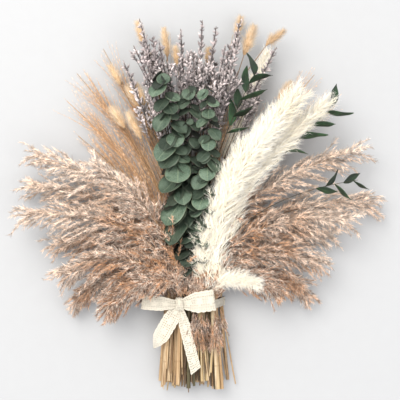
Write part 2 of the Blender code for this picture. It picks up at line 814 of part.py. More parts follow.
def build_ribbon(plants, bunch, repeats, materials):
    """The lace ribbon: a band round the stems, a knot, two loops and two tails, all one strip of lace."""
    outline = [(p.x, p.y) for p in tie_outline(plants)]
    stand_up = Matrix.Rotation(math.radians(90), 4, "X")
    band = strip_object(outline, 2 * TIE_HALF_WIDTH, True, stand_up, bunch)
    band.name = "lace_ribbon"
    knot = ribbon_top(plants)
    ball = ball_mesh(6, 5)
    placed_copy(ball, repeats, knot, Vector((0, 0, 1)), Vector((1, 0, 0)), KNOT_SIZE)
    for name, side_view, width in ribbon_runs():
        points = [(x * MM, y * MM) for x, y in side_view]
        strip_object(points, width, False, run_matrix(knot, name), repeats)
    unite(band, repeats, "MANIFOLD")
    band.data.materials.clear()
    band.data.materials.append(materials["ribbon"])
    return band


# ---------------------------------------------------------------- the bunch


def main():
    """Lays the bunch out, lets it grow and builds every plant and the ribbon."""
    clear_scene()
    bunch = collection_named("dried_grass_bunch")
    repeats = collection_named("repeats")
    materials = {name: material_named(name, kind.color, kind.roughness) for name, kind in KINDS.items()}
    materials["ribbon"] = material_named("ribbon", RIBBON_COLOR, 0.9)
    plants = make_plants()
    pack_at_tie(plants)
    rng = random.Random(SEED)
    for owner, plant in enumerate(plants):
        route(plant, owner, rng)
    mains = [plant.stems[0] for plant in plants]
    bow = ribbon_rods(plants)
    spread_apart(mains, bow, held_points=3)
    for owner, plant in enumerate(plants):
        if plant.place.twin:
            branch(plant, owner)
    stalks = [stem for plant in plants for stem in plant.stems[1:]]
    spread_apart(stalks, [*bow, *(rod for stem in mains for rod in stem_rods(stem))], held_points=1)
    grow_everything(plants, [*bow, *band_rods(plants)])
    shapes = {
        "twig": cone_mesh(3, 1.0),
        "eucalyptus": leaf_mesh(((-0.03, 0.1), (0.22, 0.42), (0.62, 0.5), (1.0, 0.2))),
        "ruscus": leaf_mesh(((-0.03, 0.11), (0.32, 0.5), (0.68, 0.38), (1.0, 0.0))),
    }
    for plant in plants:
        build_plant(plant, bunch, repeats, shapes, materials)
    build_ribbon(plants, bunch, repeats, materials)
    bpy.data.collections.remove(repeats)


if __name__ == "__main__":
    main()
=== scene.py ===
"""A hand-tied bunch of dried reed, pampas grass, straw grass, bunny tails, lavender, eucalyptus and ruscus.

The bunch lies on a table and the camera looks down on it. Its CAD solids give every plant's route, size and
place. This script lays the same plants out by the same rules, and dresses each with fine twigs, hairs,
florets, leaves and lace that stand where its solid stands.
"""

import logging
import math
import random
from collections.abc import Callable, Iterable, Iterator, Sequence
from dataclasses import dataclass, field, fields, replace
from enum import Enum

import bmesh
import bpy
import numpy as np
from bmesh.types import BMesh, BMVert
from bpy.types import Material, NodeSocket, NodeTree, Object
from mathutils import Matrix, Vector

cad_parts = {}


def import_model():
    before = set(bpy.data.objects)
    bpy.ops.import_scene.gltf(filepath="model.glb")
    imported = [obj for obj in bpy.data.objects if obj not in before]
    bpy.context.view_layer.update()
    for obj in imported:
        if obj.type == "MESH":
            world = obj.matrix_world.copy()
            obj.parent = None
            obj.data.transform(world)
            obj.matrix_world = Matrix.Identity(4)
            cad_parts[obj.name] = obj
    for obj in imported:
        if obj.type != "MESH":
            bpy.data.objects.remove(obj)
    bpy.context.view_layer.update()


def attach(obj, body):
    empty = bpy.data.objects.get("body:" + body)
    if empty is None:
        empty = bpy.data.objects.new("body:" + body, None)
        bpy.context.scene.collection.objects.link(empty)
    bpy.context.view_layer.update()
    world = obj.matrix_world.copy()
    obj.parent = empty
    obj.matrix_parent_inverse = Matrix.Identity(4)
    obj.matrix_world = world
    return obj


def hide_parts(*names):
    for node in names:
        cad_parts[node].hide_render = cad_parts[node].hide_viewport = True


log = logging.getLogger("bunch")

MM = 0.001
SEED = 11
UP = Vector((0, 0, 1))
DOWNHILL = Vector((0, -1, 0))  # the way plumes droop, as they did when the bunch stood
GOLDEN_ANGLE = math.radians(137.508)

# The tie
RIBBON_THICKNESS = 0.8 * MM
TIE_HALF_WIDTH = 8 * MM
TIE_OFFSET = 4 * MM
TIE_GAP = 0.35 * MM
STEM_GAP = 0.3 * MM
SLIDES_FROM = 60 * MM  # how far out each stem starts on its way into the tie
SLIDE_STEP = 0.05 * MM
STRAIGHT_BEFORE_TIE = 1.3 * TIE_HALF_WIDTH
STRAIGHT_PAST_TIE = 12 * MM
TIE_FLATTENING = 0.55  # the lying bunch is squeezed, so heads count this much less in height

# The cut stems
CUT_LENGTH = 108 * MM
CUT_VARIES = 6 * MM
FLARE = 1.22  # how much wider the stems stand at their cut ends than in the tie
CUT_SAG = 0.9 * MM

# Routes above the tie
CURL = 1.6  # a tip heads this many times further round from +Y than the straight line to it
HANDLE = 0.38  # Bezier handles, as a share of the straight length
PATH_TO_SPAN = 1.06  # a route's length against the straight way to its tip
MOST_HEAD = 0.95  # the largest share of a route that a dense head takes
POINTS_ABOVE_TIE = 7
TWIN_LEAVES = 0.5  # where along a stem a second stalk leaves it

# Clearances between plants
AIR = 0.8 * MM  # round twigs and leaves
STEM_AIR = 0.7 * MM  # round stems above the tie
PUSH = 0.6  # share of what two stems lack that one round moves each
LONGEST_MOVE = 2 * MM
STILL = 0.05 * MM  # stems that move less than this have spread
LENGTHS_TRIED = (1.0, 0.82, 0.66, 0.5, 0.36)
SPREAD_ROUNDS = 160
TABLE_CLEARANCE = 0.1 * MM
FACING_UP = 1.1  # how far the round leaves turn their faces up

TINY = 1e-12  # keeps a division from failing
Rod = tuple[Vector, Vector, float, int]  # start, end, radius and the number of the plant that owns it
Color = tuple[float, float, float]
Spot = tuple[float, float, float]


class Sort(Enum):
    """The sorts of plant in the bunch, each with its name."""

    REED = "reed"
    PAMPAS = "pampas"
    STRAW = "straw_grass"
    BUNNY = "bunny_tail"
    LAVENDER = "lavender"
    EUCALYPTUS = "eucalyptus"
    RUSCUS = "ruscus"


@dataclass(frozen=True)
class Habit:
    """How one sort of plant grows.

    Lengths are in metres, and lean is the angle between a twig and its stem in degrees.
    """

    stem_radius: float
    tip_radius: float
    head_length: float
    twigs: int
    twig_length: float = 0.0
    twig_radius: float = 1.5 * MM
    lean: float = 30.0
    core_radius: float = 0.0
    leaf_size: float = 0.0
    leaf_proportion: float = 0.0


HABITS = {
    Sort.REED: Habit(3.1 * MM, 0.8 * MM, 175 * MM, 18, 46 * MM, 1.9 * MM, 31),
    Sort.PAMPAS: Habit(3.6 * MM, 1.0 * MM, 235 * MM, 47, 47 * MM, 2.2 * MM, 33, 7 * MM),
    Sort.STRAW: Habit(2.2 * MM, 0.7 * MM, 190 * MM, 10, 105 * MM, 1.2 * MM, 11),
    Sort.BUNNY: Habit(1.3 * MM, 0.9 * MM, 33 * MM, 3, 17 * MM, 1.6 * MM, 36, 5.8 * MM),
    Sort.LAVENDER: Habit(1.5 * MM, 0.9 * MM, 72 * MM, 6, 12 * MM, 2.2 * MM, 36, 2.4 * MM),
    Sort.EUCALYPTUS: Habit(2.6 * MM, 1.0 * MM, 225 * MM, 18, leaf_size=30 * MM, leaf_proportion=0.92),
    Sort.RUSCUS: Habit(1.8 * MM, 0.8 * MM, 85 * MM, 7, leaf_size=33 * MM, leaf_proportion=0.3),
}
# What is left of a dense head at the last points of its stem, as shares of its length
POINTS_IN_HEAD = {Sort.BUNNY: (0.72, 0.4, 0.12), Sort.LAVENDER: (0.75, 0.35, 0.0)}


@dataclass(frozen=True)
class Place:
    """Where a plant's tip lies, in millimetres, with what sets it apart from its sort."""

    tip: Spot
    head: float = 1.0
    girth: float = 1.0
    heading: float | None = None
    twin: Spot | None = None


LAYOUT: dict[str, tuple[Sort, tuple[Place, ...]]] = {
    "reed_plume_left": (Sort.REED, (
        Place((-200, 195, 54)), Place((-206, 156, 26)), Place((-214, 117, 60), 1.1), Place((-174, 80, 24)),
        Place((-160, 42, 62)), Place((-150, 0, 26)), Place((-104, -6, 50)), Place((-122, 184, 66)),
        Place((-62, 28, 66), 0.62),
    )),
    "reed_plume_right": (Sort.REED, (
        Place((215, 201, 46)), Place((240, 132, 26)), Place((205, 112, 60)), Place((180, 90, 22)),
        Place((166, 56, 52)), Place((153, 12, 26)), Place((112, 18, 56)),
    )),
    "pampas_plume": (Sort.PAMPAS, (
        Place((130, 262, 102), 1.05, 1.0), Place((172, 254, 76), 0.85, 0.8), Place((101, 329, 24), 0.55, 0.5),
        Place((45, 287, 27), 0.45, 0.45), Place((82, 30, 62), 0.36, 0.6, -20),
    )),
    "straw_spray": (Sort.STRAW, (
        Place((-150, 222, 14)), Place((-164, 268, 20)), Place((-152, 306, 12)), Place((-116, 338, 18)),
        Place((62, 268, 20)), Place((166, 304, 14)), Place((196, 272, 20)),
    )),
    "bunny_tail": (Sort.BUNNY, (
        Place((-72, 378, 34), 1.2, twin=(-36, 370, 30)), Place((-57, 334, 44)), Place((-20, 343, 36), 0.9),
        Place((25, 340, 38), 0.8, twin=(32, 292, 38)), Place((69, 385, 22), 1.0, 1.1),
        Place((86, 371, 40), 1.3, 1.3), Place((128, 361, 48), 1.1, 1.0, 35), Place((136, 296, 38)),
        Place((-108, 318, 36)), Place((-72, 290, 54), 1.0, 1.1),
        Place((-106, 262, 36), 1.0, 1.2, twin=(-92, 292, 26)), Place((-84, 256, 52), 1.2, 1.1),
        Place((-58, 268, 34), 1.0, 1.2),
    )),
    "lavender": (Sort.LAVENDER, (
        Place((-65, 370, 62), twin=(-72, 334, 70)), Place((-86, 316, 64), twin=(-52, 300, 68)),
        Place((-40, 342, 58), twin=(-30, 316, 68)), Place((-12, 357, 60), twin=(6, 304, 70)),
        Place((16, 368, 62), twin=(22, 318, 70)), Place((34, 362, 52), twin=(42, 302, 58)),
        Place((66, 370, 62)), Place((46, 336, 66), twin=(62, 300, 72)), Place((112, 334, 58)),
        Place((-14, 316, 50)),
    )),
    "eucalyptus": (Sort.EUCALYPTUS, (
        Place((-36, 303, 84), 0.85), Place((-1, 284, 78)), Place((20, 282, 92), 0.95, 0.9, 100),
    )),
    "ruscus": (Sort.RUSCUS, (
        Place((84, 300, 82), 1.1, 1.0, 62), Place((184, 262, 78), 1.1, 1.0, 50),
        Place((214, 162, 76), 0.7, 0.8),
    )),
}


def distances(line: Sequence[Vector]) -> np.ndarray:
    """The distance along a line to each of its points."""
    return np.concatenate([[0.0], np.cumsum([(end - start).length for start, end in zip(line, line[1:])])])


def find_along(lengths: np.ndarray, wanted: float) -> tuple[int, float]:
    """The number of the point after a place along a line, and the share of the step to that point."""
    index = min(max(int(np.searchsorted(lengths, wanted)), 1), len(lengths) - 1)
    return index, (wanted - lengths[index - 1]) / max(lengths[index] - lengths[index - 1], TINY)


def frame_of(way: Vector) -> tuple[Vector, Vector]:
    """Two directions across a stem: sideways, and towards the upper side."""
    side = way.cross(UP).normalized()
    return side, side.cross(way).normalized()


def spoke(way: Vector, turn: float) -> Vector:
    """The direction across a stem that stands at the angle turn round it."""
    side, up = frame_of(way)
    return side * math.cos(turn) + up * math.sin(turn)


def leaning(way: Vector, across: Vector, lean: float) -> Vector:
    """The direction that leans from way towards across."""
    return (way * math.cos(lean) + across * math.sin(lean)).normalized()


def lifted(point: Vector, floor: float) -> Vector:
    """The point, no lower than floor."""
    return Vector((point.x, point.y, max(point.z, floor)))


def leaf_stance(way: Vector, turn: float, reflex: float, facing: float) -> tuple[Vector, Vector]:
    """How a round leaf stands on its stem.

    Args:
        way: The stem's direction.
        turn: The leaf's angle round the stem.
        reflex: How far it leans back from square to the stem.
        facing: How strongly it turns its face up.

    Returns:
        The way that it points, and the way that it faces.
    """
    radial = spoke(way, turn)
    points = radial * math.cos(reflex) - way * math.sin(reflex)
    faces = radial * math.sin(reflex) + way * math.cos(reflex) + frame_of(way)[1] * facing
    return points, (faces - points * faces.dot(points)).normalized()


@dataclass
class Leaf:
    """One leaf: where it leaves its stem, the way it points, the way it faces, and its length."""

    root: Vector
    way: Vector
    normal: Vector
    length: float


@dataclass
class Stem:
    """One stem: the sort and number of its plant, the points it runs through, and what grows on it."""

    sort: Sort
    place: Place
    owner: int
    tip: Vector
    line: list[Vector] = field(default_factory=list)
    radii: list[float] = field(default_factory=list)
    leaves: list[Leaf] = field(default_factory=list)

    @property
    def habit(self) -> Habit:
        """How its sort grows."""
        return HABITS[self.sort]

    @property
    def head_length(self) -> float:
        """Length of stem that bears the head."""
        return self.habit.head_length * self.place.head

    @property
    def core(self) -> float:
        """Radius of the head's core, 0 for an open head."""
        return self.habit.core_radius * self.place.girth

    def lengths(self) -> np.ndarray:
        """Distance along the stem to each point of its line."""
        return distances(self.line)

    def at_length(self, wanted: float) -> tuple[Vector, Vector, float]:
        """Finds a place on the stem.

        Args:
            wanted: Distance along the stem from its first point.

        Returns:
            The point, the stem's direction and its radius there.
        """
        index, part = find_along(self.lengths(), wanted)
        start, end = self.line[index - 1], self.line[index]
        radius = self.radii[index - 1] + (self.radii[index] - self.radii[index - 1]) * part
        return start.lerp(end, part), (end - start).normalized(), radius

    def at_head(self, share: float) -> tuple[Vector, Vector, float]:
        """The same for a share of the head's length, from its foot to the tip."""
        return self.at_length(self.lengths()[-1] - self.head_length * (1 - share))

    def twig_share(self, share: float) -> float:
        """Finds how long twigs are along the head.

        Args:
            share: Share of the head from its foot to its tip.

        Returns:
            Their length as a share of the full one.
        """
        if self.sort is Sort.REED:
            return 0.5 + 0.5 * math.sin(math.pi * min(1.0, 0.15 + share * 0.8))
        if self.sort is Sort.PAMPAS:
            return 0.55 + 0.45 * math.sin(math.pi * (0.1 + share * 0.75))
        if self.sort is Sort.STRAW:
            return 1.0 - 0.45 * share
        return 1.0

    def set_radii(self) -> None:
        """Thins the stem along its head, or swells it to the head's core."""
        along = self.lengths()
        foot = along[-1] - self.head_length
        for distance in along:
            share = max(0.0, (distance - foot) / self.head_length)
            radius = self.habit.stem_radius + (self.habit.tip_radius - self.habit.stem_radius) * share
            if share > 0:
                radius = max(radius, self.core * math.sin(math.pi * min(share * 0.9 + 0.08, 1.0)) ** 0.6)
            self.radii.append(radius)

    def rods(self) -> list[Rod]:
        """The stem's own rods, as (start, end, radius, owner)."""
        steps = zip(self.line, self.line[1:], self.radii, self.radii[1:])
        return [(start, end, max(a, b), self.owner) for start, end, a, b in steps]


@dataclass
class Plant:
    """One plant: its CAD node's name, its place in the tie and its stems, the first with the cut end."""

    name: str
    sort: Sort
    place: Place
    owner: int
    at_tie: Vector = field(default_factory=Vector)
    stems: list[Stem] = field(default_factory=list)


def closest(between: np.ndarray, own: np.ndarray, theirs: np.ndarray) -> tuple[np.ndarray, np.ndarray]:
    """Finds where pairs of rods come closest.

    Args:
        between: The way from the start of each pair's second rod to the start of its first.
        own: The first rod of each pair, from its start to its end.
        theirs: The second one.

    Returns:
        Where along the first rod that is, 0 to 1, and the way from the second rod to it.
    """
    a = (own * own).sum(-1) + TINY
    e = (theirs * theirs).sum(-1) + TINY
    b, c, f = (own * theirs).sum(-1), (own * between).sum(-1), (theirs * between).sum(-1)
    s = np.clip((b * f - c * e) / np.maximum(a * e - b * b, TINY), 0, 1)
    t = np.clip((b * s + f) / e, 0, 1)
    s = np.clip((b * t - c) / a, 0, 1)
    return s, between + s[..., None] * own - t[..., None] * theirs


class Space:
    """Everything placed so far, as rods, so that nothing new runs into another plant."""

    def __init__(self) -> None:
        """Starts empty."""
        self.starts = np.zeros((0, 3))
        self.ends = np.zeros((0, 3))
        self.radii = np.zeros(0)
        self.owners = np.zeros(0, int)

    def add(self, rod: Rod) -> None:
        """Takes up a rod.

        Args:
            rod: The rod.
        """
        start, end, radius, owner = rod
        self.starts = np.vstack([self.starts, start])
        self.ends = np.vstack([self.ends, end])
        self.radii = np.append(self.radii, radius)
        self.owners = np.append(self.owners, owner)

    def gap(self, rod: Rod) -> float:
        """Measures how near a rod comes to what other plants hold.

        Args:
            rod: The rod.

        Returns:
            The smallest gap, 1 m at most.
        """
        start, end, radius, owner = rod
        others = self.owners != owner
        starts, ends = self.starts[others], self.ends[others]
        _, apart = closest(np.array(start) - starts, np.array(end) - np.array(start), ends - starts)
        return (np.linalg.norm(apart, axis=1) - self.radii[others] - radius).min(initial=1.0)


def bezier(points: Sequence[Vector], share: float) -> Vector:
    """Finds a point on a cubic Bezier curve.

    Args:
        points: The curve's four points.
        share: How far along it, 0 to 1.

    Returns:
        The point.
    """
    a, b, c, d = points
    rest = 1 - share
    return a * rest**3 + b * 3 * rest**2 * share + c * 3 * rest * share**2 + d * share**3


def spread_apart(stems: Sequence[Stem], fixed: Sequence[Rod], held_points: int) -> None:
    """Pushes stems apart until none comes within STEM_AIR of another, or of a fixed rod.

    Args:
        stems: The stems that move.
        fixed: Rods that stay.
        held_points: How many points at each stem's start stay too.
    """
    points = np.array([point for stem in stems for point in stem.line])
    counts = [len(stem.line) for stem in stems]
    offsets = np.cumsum([0, *counts])[:-1]
    firsts = np.array([first + k for first, count in zip(offsets, counts) for k in range(count - 1)])
    held = np.array([k < held_points for count in counts for k in range(count)])
    floors = np.array([radius for stem in stems for radius in stem.radii]) + STEM_AIR
    rods = [rod for stem in stems for rod in stem.rods()] + list(fixed)
    radii = np.array([rod[2] for rod in rods])
    owners = np.array([rod[3] for rod in rods])
    fixed_starts = np.array([rod[0] for rod in fixed])
    fixed_ends = np.array([rod[1] for rod in fixed])
    apart_from = radii[:, None] + radii[None, :] + STEM_AIR
    other = owners[:, None] != owners[None, :]
    for _ in range(SPREAD_ROUNDS):
        starts = np.vstack([points[firsts], fixed_starts])
        ends = np.vstack([points[firsts + 1], fixed_ends])
        along = ends - starts
        s, way = closest(starts[:, None] - starts[None, :], along[:, None], along[None, :])
        distance = np.linalg.norm(way, axis=2)
        lacking = np.where(other, np.maximum(apart_from - distance, 0), 0)
        push = way / np.maximum(distance, TINY)[..., None] * (lacking * PUSH)[..., None]
        count = len(firsts)
        moves = np.zeros_like(points)
        np.add.at(moves, firsts, (push * (1 - s)[..., None]).sum(1)[:count])
        np.add.at(moves, firsts + 1, (push * s[..., None]).sum(1)[:count])
        moves[held] = 0
        longest = np.linalg.norm(moves, axis=1, keepdims=True)
        points += moves * np.minimum(1, LONGEST_MOVE / np.maximum(longest, TINY))
        points[:, 2] = np.where(held, points[:, 2], np.maximum(points[:, 2], floors))
        if longest.max() < STILL:
            break
    for stem, first, count in zip(stems, offsets, counts):
        stem.line = [Vector(point) for point in points[first:first + count]]


@dataclass
class Bunch:
    """The bunch's layout: every plant with its route through the tie, as the CAD solids have it."""

    plants: list[Plant] = field(default_factory=list)
    space: Space = field(default_factory=Space)

    def lay_out(self) -> None:
        """Places every stem and leaf."""
        for name, (sort, places) in LAYOUT.items():
            for number, place in enumerate(places, 1):
                self.plants.append(Plant(f"{name}_{number}", sort, place, len(self.plants)))
        self.pack_at_tie()
        rng = random.Random(SEED)
        for plant in self.plants:
            self.route(plant, rng)
        mains = [plant.stems[0] for plant in self.plants]
        bow = Bow(self).rods()
        spread_apart(mains, bow, held_points=3)
        for plant in self.plants:
            if plant.place.twin:
                self.branch(plant)
        stalks = [stem for plant in self.plants for stem in plant.stems[1:]]
        spread_apart(stalks, [*bow, *(rod for stem in mains for rod in stem.rods())], held_points=1)
        self.grow([*bow, *Bow(self).band_rods()])

    def top(self, x: float, y: float) -> float:
        """Finds how high the stems lie near the tie.

        Args:
            x: Place across.
            y: Place along.

        Returns:
            Height of the topmost stem there, 0 where there is none.
        """
        best = 0.0
        for plant in self.plants:
            line = plant.stems[0].line[:5]
            along = [point.y for point in line]
            here = [float(np.interp(y, along, [point[axis] for point in line])) for axis in (0, 2)]
            if abs(here[0] - x) < 5 * MM:
                best = max(best, here[1] + HABITS[plant.sort].stem_radius)
        return best

    def pack_at_tie(self) -> None:
        """Slides each stem in towards the middle of the tie until it meets one already there."""
        def spread(plant: Plant) -> float:
            """How far a plant leans away from +Y."""
            x, y, z = plant.place.tip
            return math.atan2(math.hypot(x, z * TIE_FLATTENING), y)

        middle = sum(plant.place.tip[2] for plant in self.plants) / len(self.plants)
        placed: list[tuple[Vector, float]] = []
        for plant in sorted(self.plants, key=spread):
            x, _, z = plant.place.tip
            toward = Vector((x, (z - middle) * 3)).normalized()
            own = HABITS[plant.sort].stem_radius
            distance, met = SLIDES_FROM, False
            while distance > 0 and not met:
                distance -= SLIDE_STEP
                spot = toward * distance
                met = any((spot - there).length < own + STEM_GAP + radius for there, radius in placed)
            spot = toward * max(distance + SLIDE_STEP, 0.0)
            placed.append((spot, own))
            plant.at_tie = Vector((spot.x, 0, spot.y))
        left = min(spot.x - radius for spot, radius in placed)
        right = max(spot.x + radius for spot, radius in placed)
        low = min(spot.y - radius for spot, radius in placed)
        shift = Vector((TIE_OFFSET - (left + right) / 2, 0, RIBBON_THICKNESS + TIE_GAP - low))
        for plant in self.plants:
            plant.at_tie = plant.at_tie + shift

    @staticmethod
    def points_to_head(start: Vector, start_way: Vector, stem: Stem) -> list[Vector]:
        """Curves a stem from its start to its tip.

        Args:
            start: Where the curve starts.
            start_way: The way that it leaves there.
            stem: The stem, for its tip and head.

        Returns:
            Its points, closer together along a dense head.
        """
        span = stem.tip - start
        reach = HANDLE * span.length
        heading = stem.place.heading
        if heading is None:
            straight = math.degrees(math.atan2(span.y, span.x))
            if straight < -90:
                straight += 360
            heading = 90 + CURL * (straight - 90)
        turn = math.radians(heading)
        end_way = Vector((math.cos(turn), math.sin(turn), 0.6 * span.z / span.length)).normalized()
        handles = (start, start + start_way * reach, stem.tip - end_way * reach, stem.tip)
        head = min(stem.head_length / (span.length * PATH_TO_SPAN), MOST_HEAD)
        if stem.sort in POINTS_IN_HEAD:
            shares = [k / 3 * (1 - head) for k in range(4)]
            shares += [1 - head * rest for rest in POINTS_IN_HEAD[stem.sort]]
        else:
            shares = [k / POINTS_ABOVE_TIE for k in range(POINTS_ABOVE_TIE + 1)]
        return [bezier(handles, share) for share in shares]

    def route(self, plant: Plant, rng: random.Random) -> None:
        """Adds a plant's main stem.

        Args:
            plant: The plant.
            rng: Draws how much longer or shorter it is cut.
        """
        tie = plant.at_tie
        stem = Stem(plant.sort, plant.place, plant.owner, Vector(plant.place.tip) * MM)
        cut = Vector((tie.x * FLARE, -CUT_LENGTH + rng.uniform(-CUT_VARIES, CUT_VARIES), tie.z - CUT_SAG))
        leaving = tie + Vector((0, STRAIGHT_PAST_TIE, 0))
        stem.line = [cut, tie - Vector((0, STRAIGHT_BEFORE_TIE, 0))]
        stem.line += self.points_to_head(leaving, Vector((0, 1, 0)), stem)
        stem.set_radii()
        plant.stems.append(stem)

    def branch(self, plant: Plant) -> None:
        """Adds a plant's second stalk, which leaves the main stem part of the way up.

        Args:
            plant: The plant.
        """
        main, place = plant.stems[0], plant.place
        start, way, _ = main.at_length(main.lengths()[-1] * TWIN_LEAVES)
        twin = Place(place.twin, place.head, place.girth)
        stem = Stem(plant.sort, twin, plant.owner, Vector(place.twin) * MM)
        stem.line = self.points_to_head(start, way, stem)
        stem.set_radii()
        plant.stems.append(stem)

    def grow(self, fixed: Sequence[Rod]) -> None:
        """Lets every stem grow one twig or leaf in turn, each clear of what other plants hold.

        Args:
            fixed: Rods that are there before the stems.
        """
        rng = random.Random(SEED)
        stems = [stem for plant in self.plants for stem in plant.stems]
        for rod in [*fixed, *(rod for stem in stems for rod in stem.rods())]:
            self.space.add(rod)
        for index in range(max(habit.twigs for habit in HABITS.values()) * 2):
            for stem in stems:
                grow_one = self.grow_leaf if stem.habit.leaf_size else self.grow_twig
                grow_one(stem, index, rng)

    def grow_twig(self, stem: Stem, index: int, rng: random.Random) -> None:
        """Takes up the space of one of a stem's main twigs.

        Args:
            stem: The stem.
            index: The twig's number, from the head's foot.
            rng: Draws how it stands.
        """
        habit = stem.habit
        count = max(3, round(habit.twigs * stem.place.head)) if stem.core else habit.twigs
        if index >= count:
            return
        share = (index + 0.35) / count
        if stem.sort is Sort.STRAW:
            share *= 0.6
        root, way, stem_radius = stem.at_head(share * 0.97)
        turn = index * GOLDEN_ANGLE + rng.uniform(-0.3, 0.3)
        lean = math.radians(habit.lean * (1.1 - 0.45 * share) * rng.uniform(0.85, 1.15))
        end_way = leaning(way, spoke(way, turn), lean)
        full = habit.twig_length * stem.twig_share(share) * rng.uniform(0.85, 1.1)
        full *= stem.place.girth if stem.core else 1.0
        radius = min(habit.twig_radius, 0.85 * stem_radius)
        shortest = 1.2 * stem_radius / math.sin(lean) + radius
        for portion in LENGTHS_TRIED:
            end = root + end_way * full * portion
            if end.z < TABLE_CLEARANCE:
                end = root.lerp(end, (root.z - TABLE_CLEARANCE) / (root.z - end.z))
            if (end - root).length < shortest:
                return
            twig = (root, end, radius, stem.owner)
            if self.space.gap(twig) > AIR:
                self.space.add(twig)
                return

    def grow_leaf(self, stem: Stem, index: int, rng: random.Random) -> None:
        """Adds one leaf to a stem.

        Args:
            stem: The stem.
            index: The leaf's number, from the head's foot.
            rng: Draws how it stands.
        """
        habit = stem.habit
        count = round(habit.twigs * stem.place.head)
        if index >= count:
            return
        round_leaf = stem.sort is Sort.EUCALYPTUS
        share = (index + 0.5) / count
        root, way, _ = stem.at_head(share)
        if round_leaf:
            turn = math.radians((25, 155, 90)[index % 3] + rng.uniform(-15, 15))
            reflex = math.radians(rng.uniform(32, 48))
            size = habit.leaf_size * (1.0 - 0.45 * share)
        else:
            turn = math.radians((0, 180)[index % 2] + rng.uniform(15, 60))
            reflex = math.radians(rng.uniform(-58, -30))
            size = habit.leaf_size * rng.uniform(0.75, 1.1)
        leaf_way, normal = leaf_stance(way, turn, reflex, FACING_UP)
        if not round_leaf:
            side, up = frame_of(way)
            normal = leaf_way.cross(side * math.sin(turn) - up * math.cos(turn)).normalized()
        for portion in LENGTHS_TRIED[:4]:
            length = size * portion * stem.place.girth
            width = length * habit.leaf_proportion
            thick = max(0.16 * width, 1.0 * MM)
            across = leaf_way.cross(normal).normalized() * width
            beside = [root + across * k for k in (-0.3, 0.0, 0.3)]
            rods = [
                (spot + leaf_way * length * 0.12, spot + leaf_way * length * 0.9, thick, stem.owner)
                for spot in beside
            ]
            low = min(min(start.z, end.z) for start, end, _, _ in rods)
            if low > thick and all(self.space.gap(rod) > AIR for rod in rods):
                for rod in rods:
                    self.space.add(rod)
                stem.leaves.append(Leaf(root, leaf_way, normal, length))
                return


# ---- the bow's layout

RIBBON = -1  # the ribbon's number among the owners of rods
OUTLINE_STEPS = 28  # points round the band
FLAT_BELOW = -0.7  # the band's underside lies flat where it faces down more than this
KNOT = Vector((-14 * MM, 0, 0))  # its height comes from the stems under it
KNOT_SIZE = Vector((8 * MM, 8.5 * MM, 4.5 * MM))
LOOP_WIDTH = 24 * MM
TAIL_WIDTHS = (23 * MM, 16 * MM)
RUN_ROD = 2.2 * MM  # radius of the rods that stand for a loop or tail
BAND_ROD = 1.6 * MM  # radius of the rods that stand for the band


class RunKind(Enum):
    """What a free run of the ribbon is."""

    LOOP = "loop"
    TAIL = "tail"


@dataclass(frozen=True)
class Run:
    """One free run of the ribbon: heading in degrees, width, and side view in millimetres from the knot."""

    kind: RunKind
    heading: float
    width: float
    side_view: tuple[tuple[float, float], ...]
    pointed: bool = False

    def matrix(self, knot: Vector) -> Matrix:
        """Puts the side view in place: out along its heading, up along +Z."""
        turn = Matrix.Rotation(math.radians(self.heading), 4, "Z")
        return Matrix.Translation(knot) @ turn @ Matrix.Rotation(math.radians(90), 4, "X")

    def points(self) -> list[Vector]:
        """The side view in metres."""
        return [Vector((x * MM, y * MM, 0)) for x, y in self.side_view]


RUNS = (
    Run(RunKind.LOOP, 8, LOOP_WIDTH, (
        (0, 0), (10, 4), (24, 9), (38, 10.5), (46, 7), (45, 2.5), (36, 1.5), (20, 0.5), (2, -1),
    )),
    Run(RunKind.LOOP, 176, LOOP_WIDTH * 0.85, (
        (0, 0), (12, 5), (28, 9), (42, 8), (49, 4), (46, 0.5), (34, 0), (18, 0), (2, -0.5),
    )),
    Run(RunKind.TAIL, 240, TAIL_WIDTHS[0], ((0, 0), (12, 2), (26, 3.5), (42, 2), (58, -2), (68, -8)), True),
    Run(RunKind.TAIL, 284, TAIL_WIDTHS[1], ((0, 0), (14, 3), (32, 2.5), (52, 3.5), (72, 2.5), (90, 2))),
)


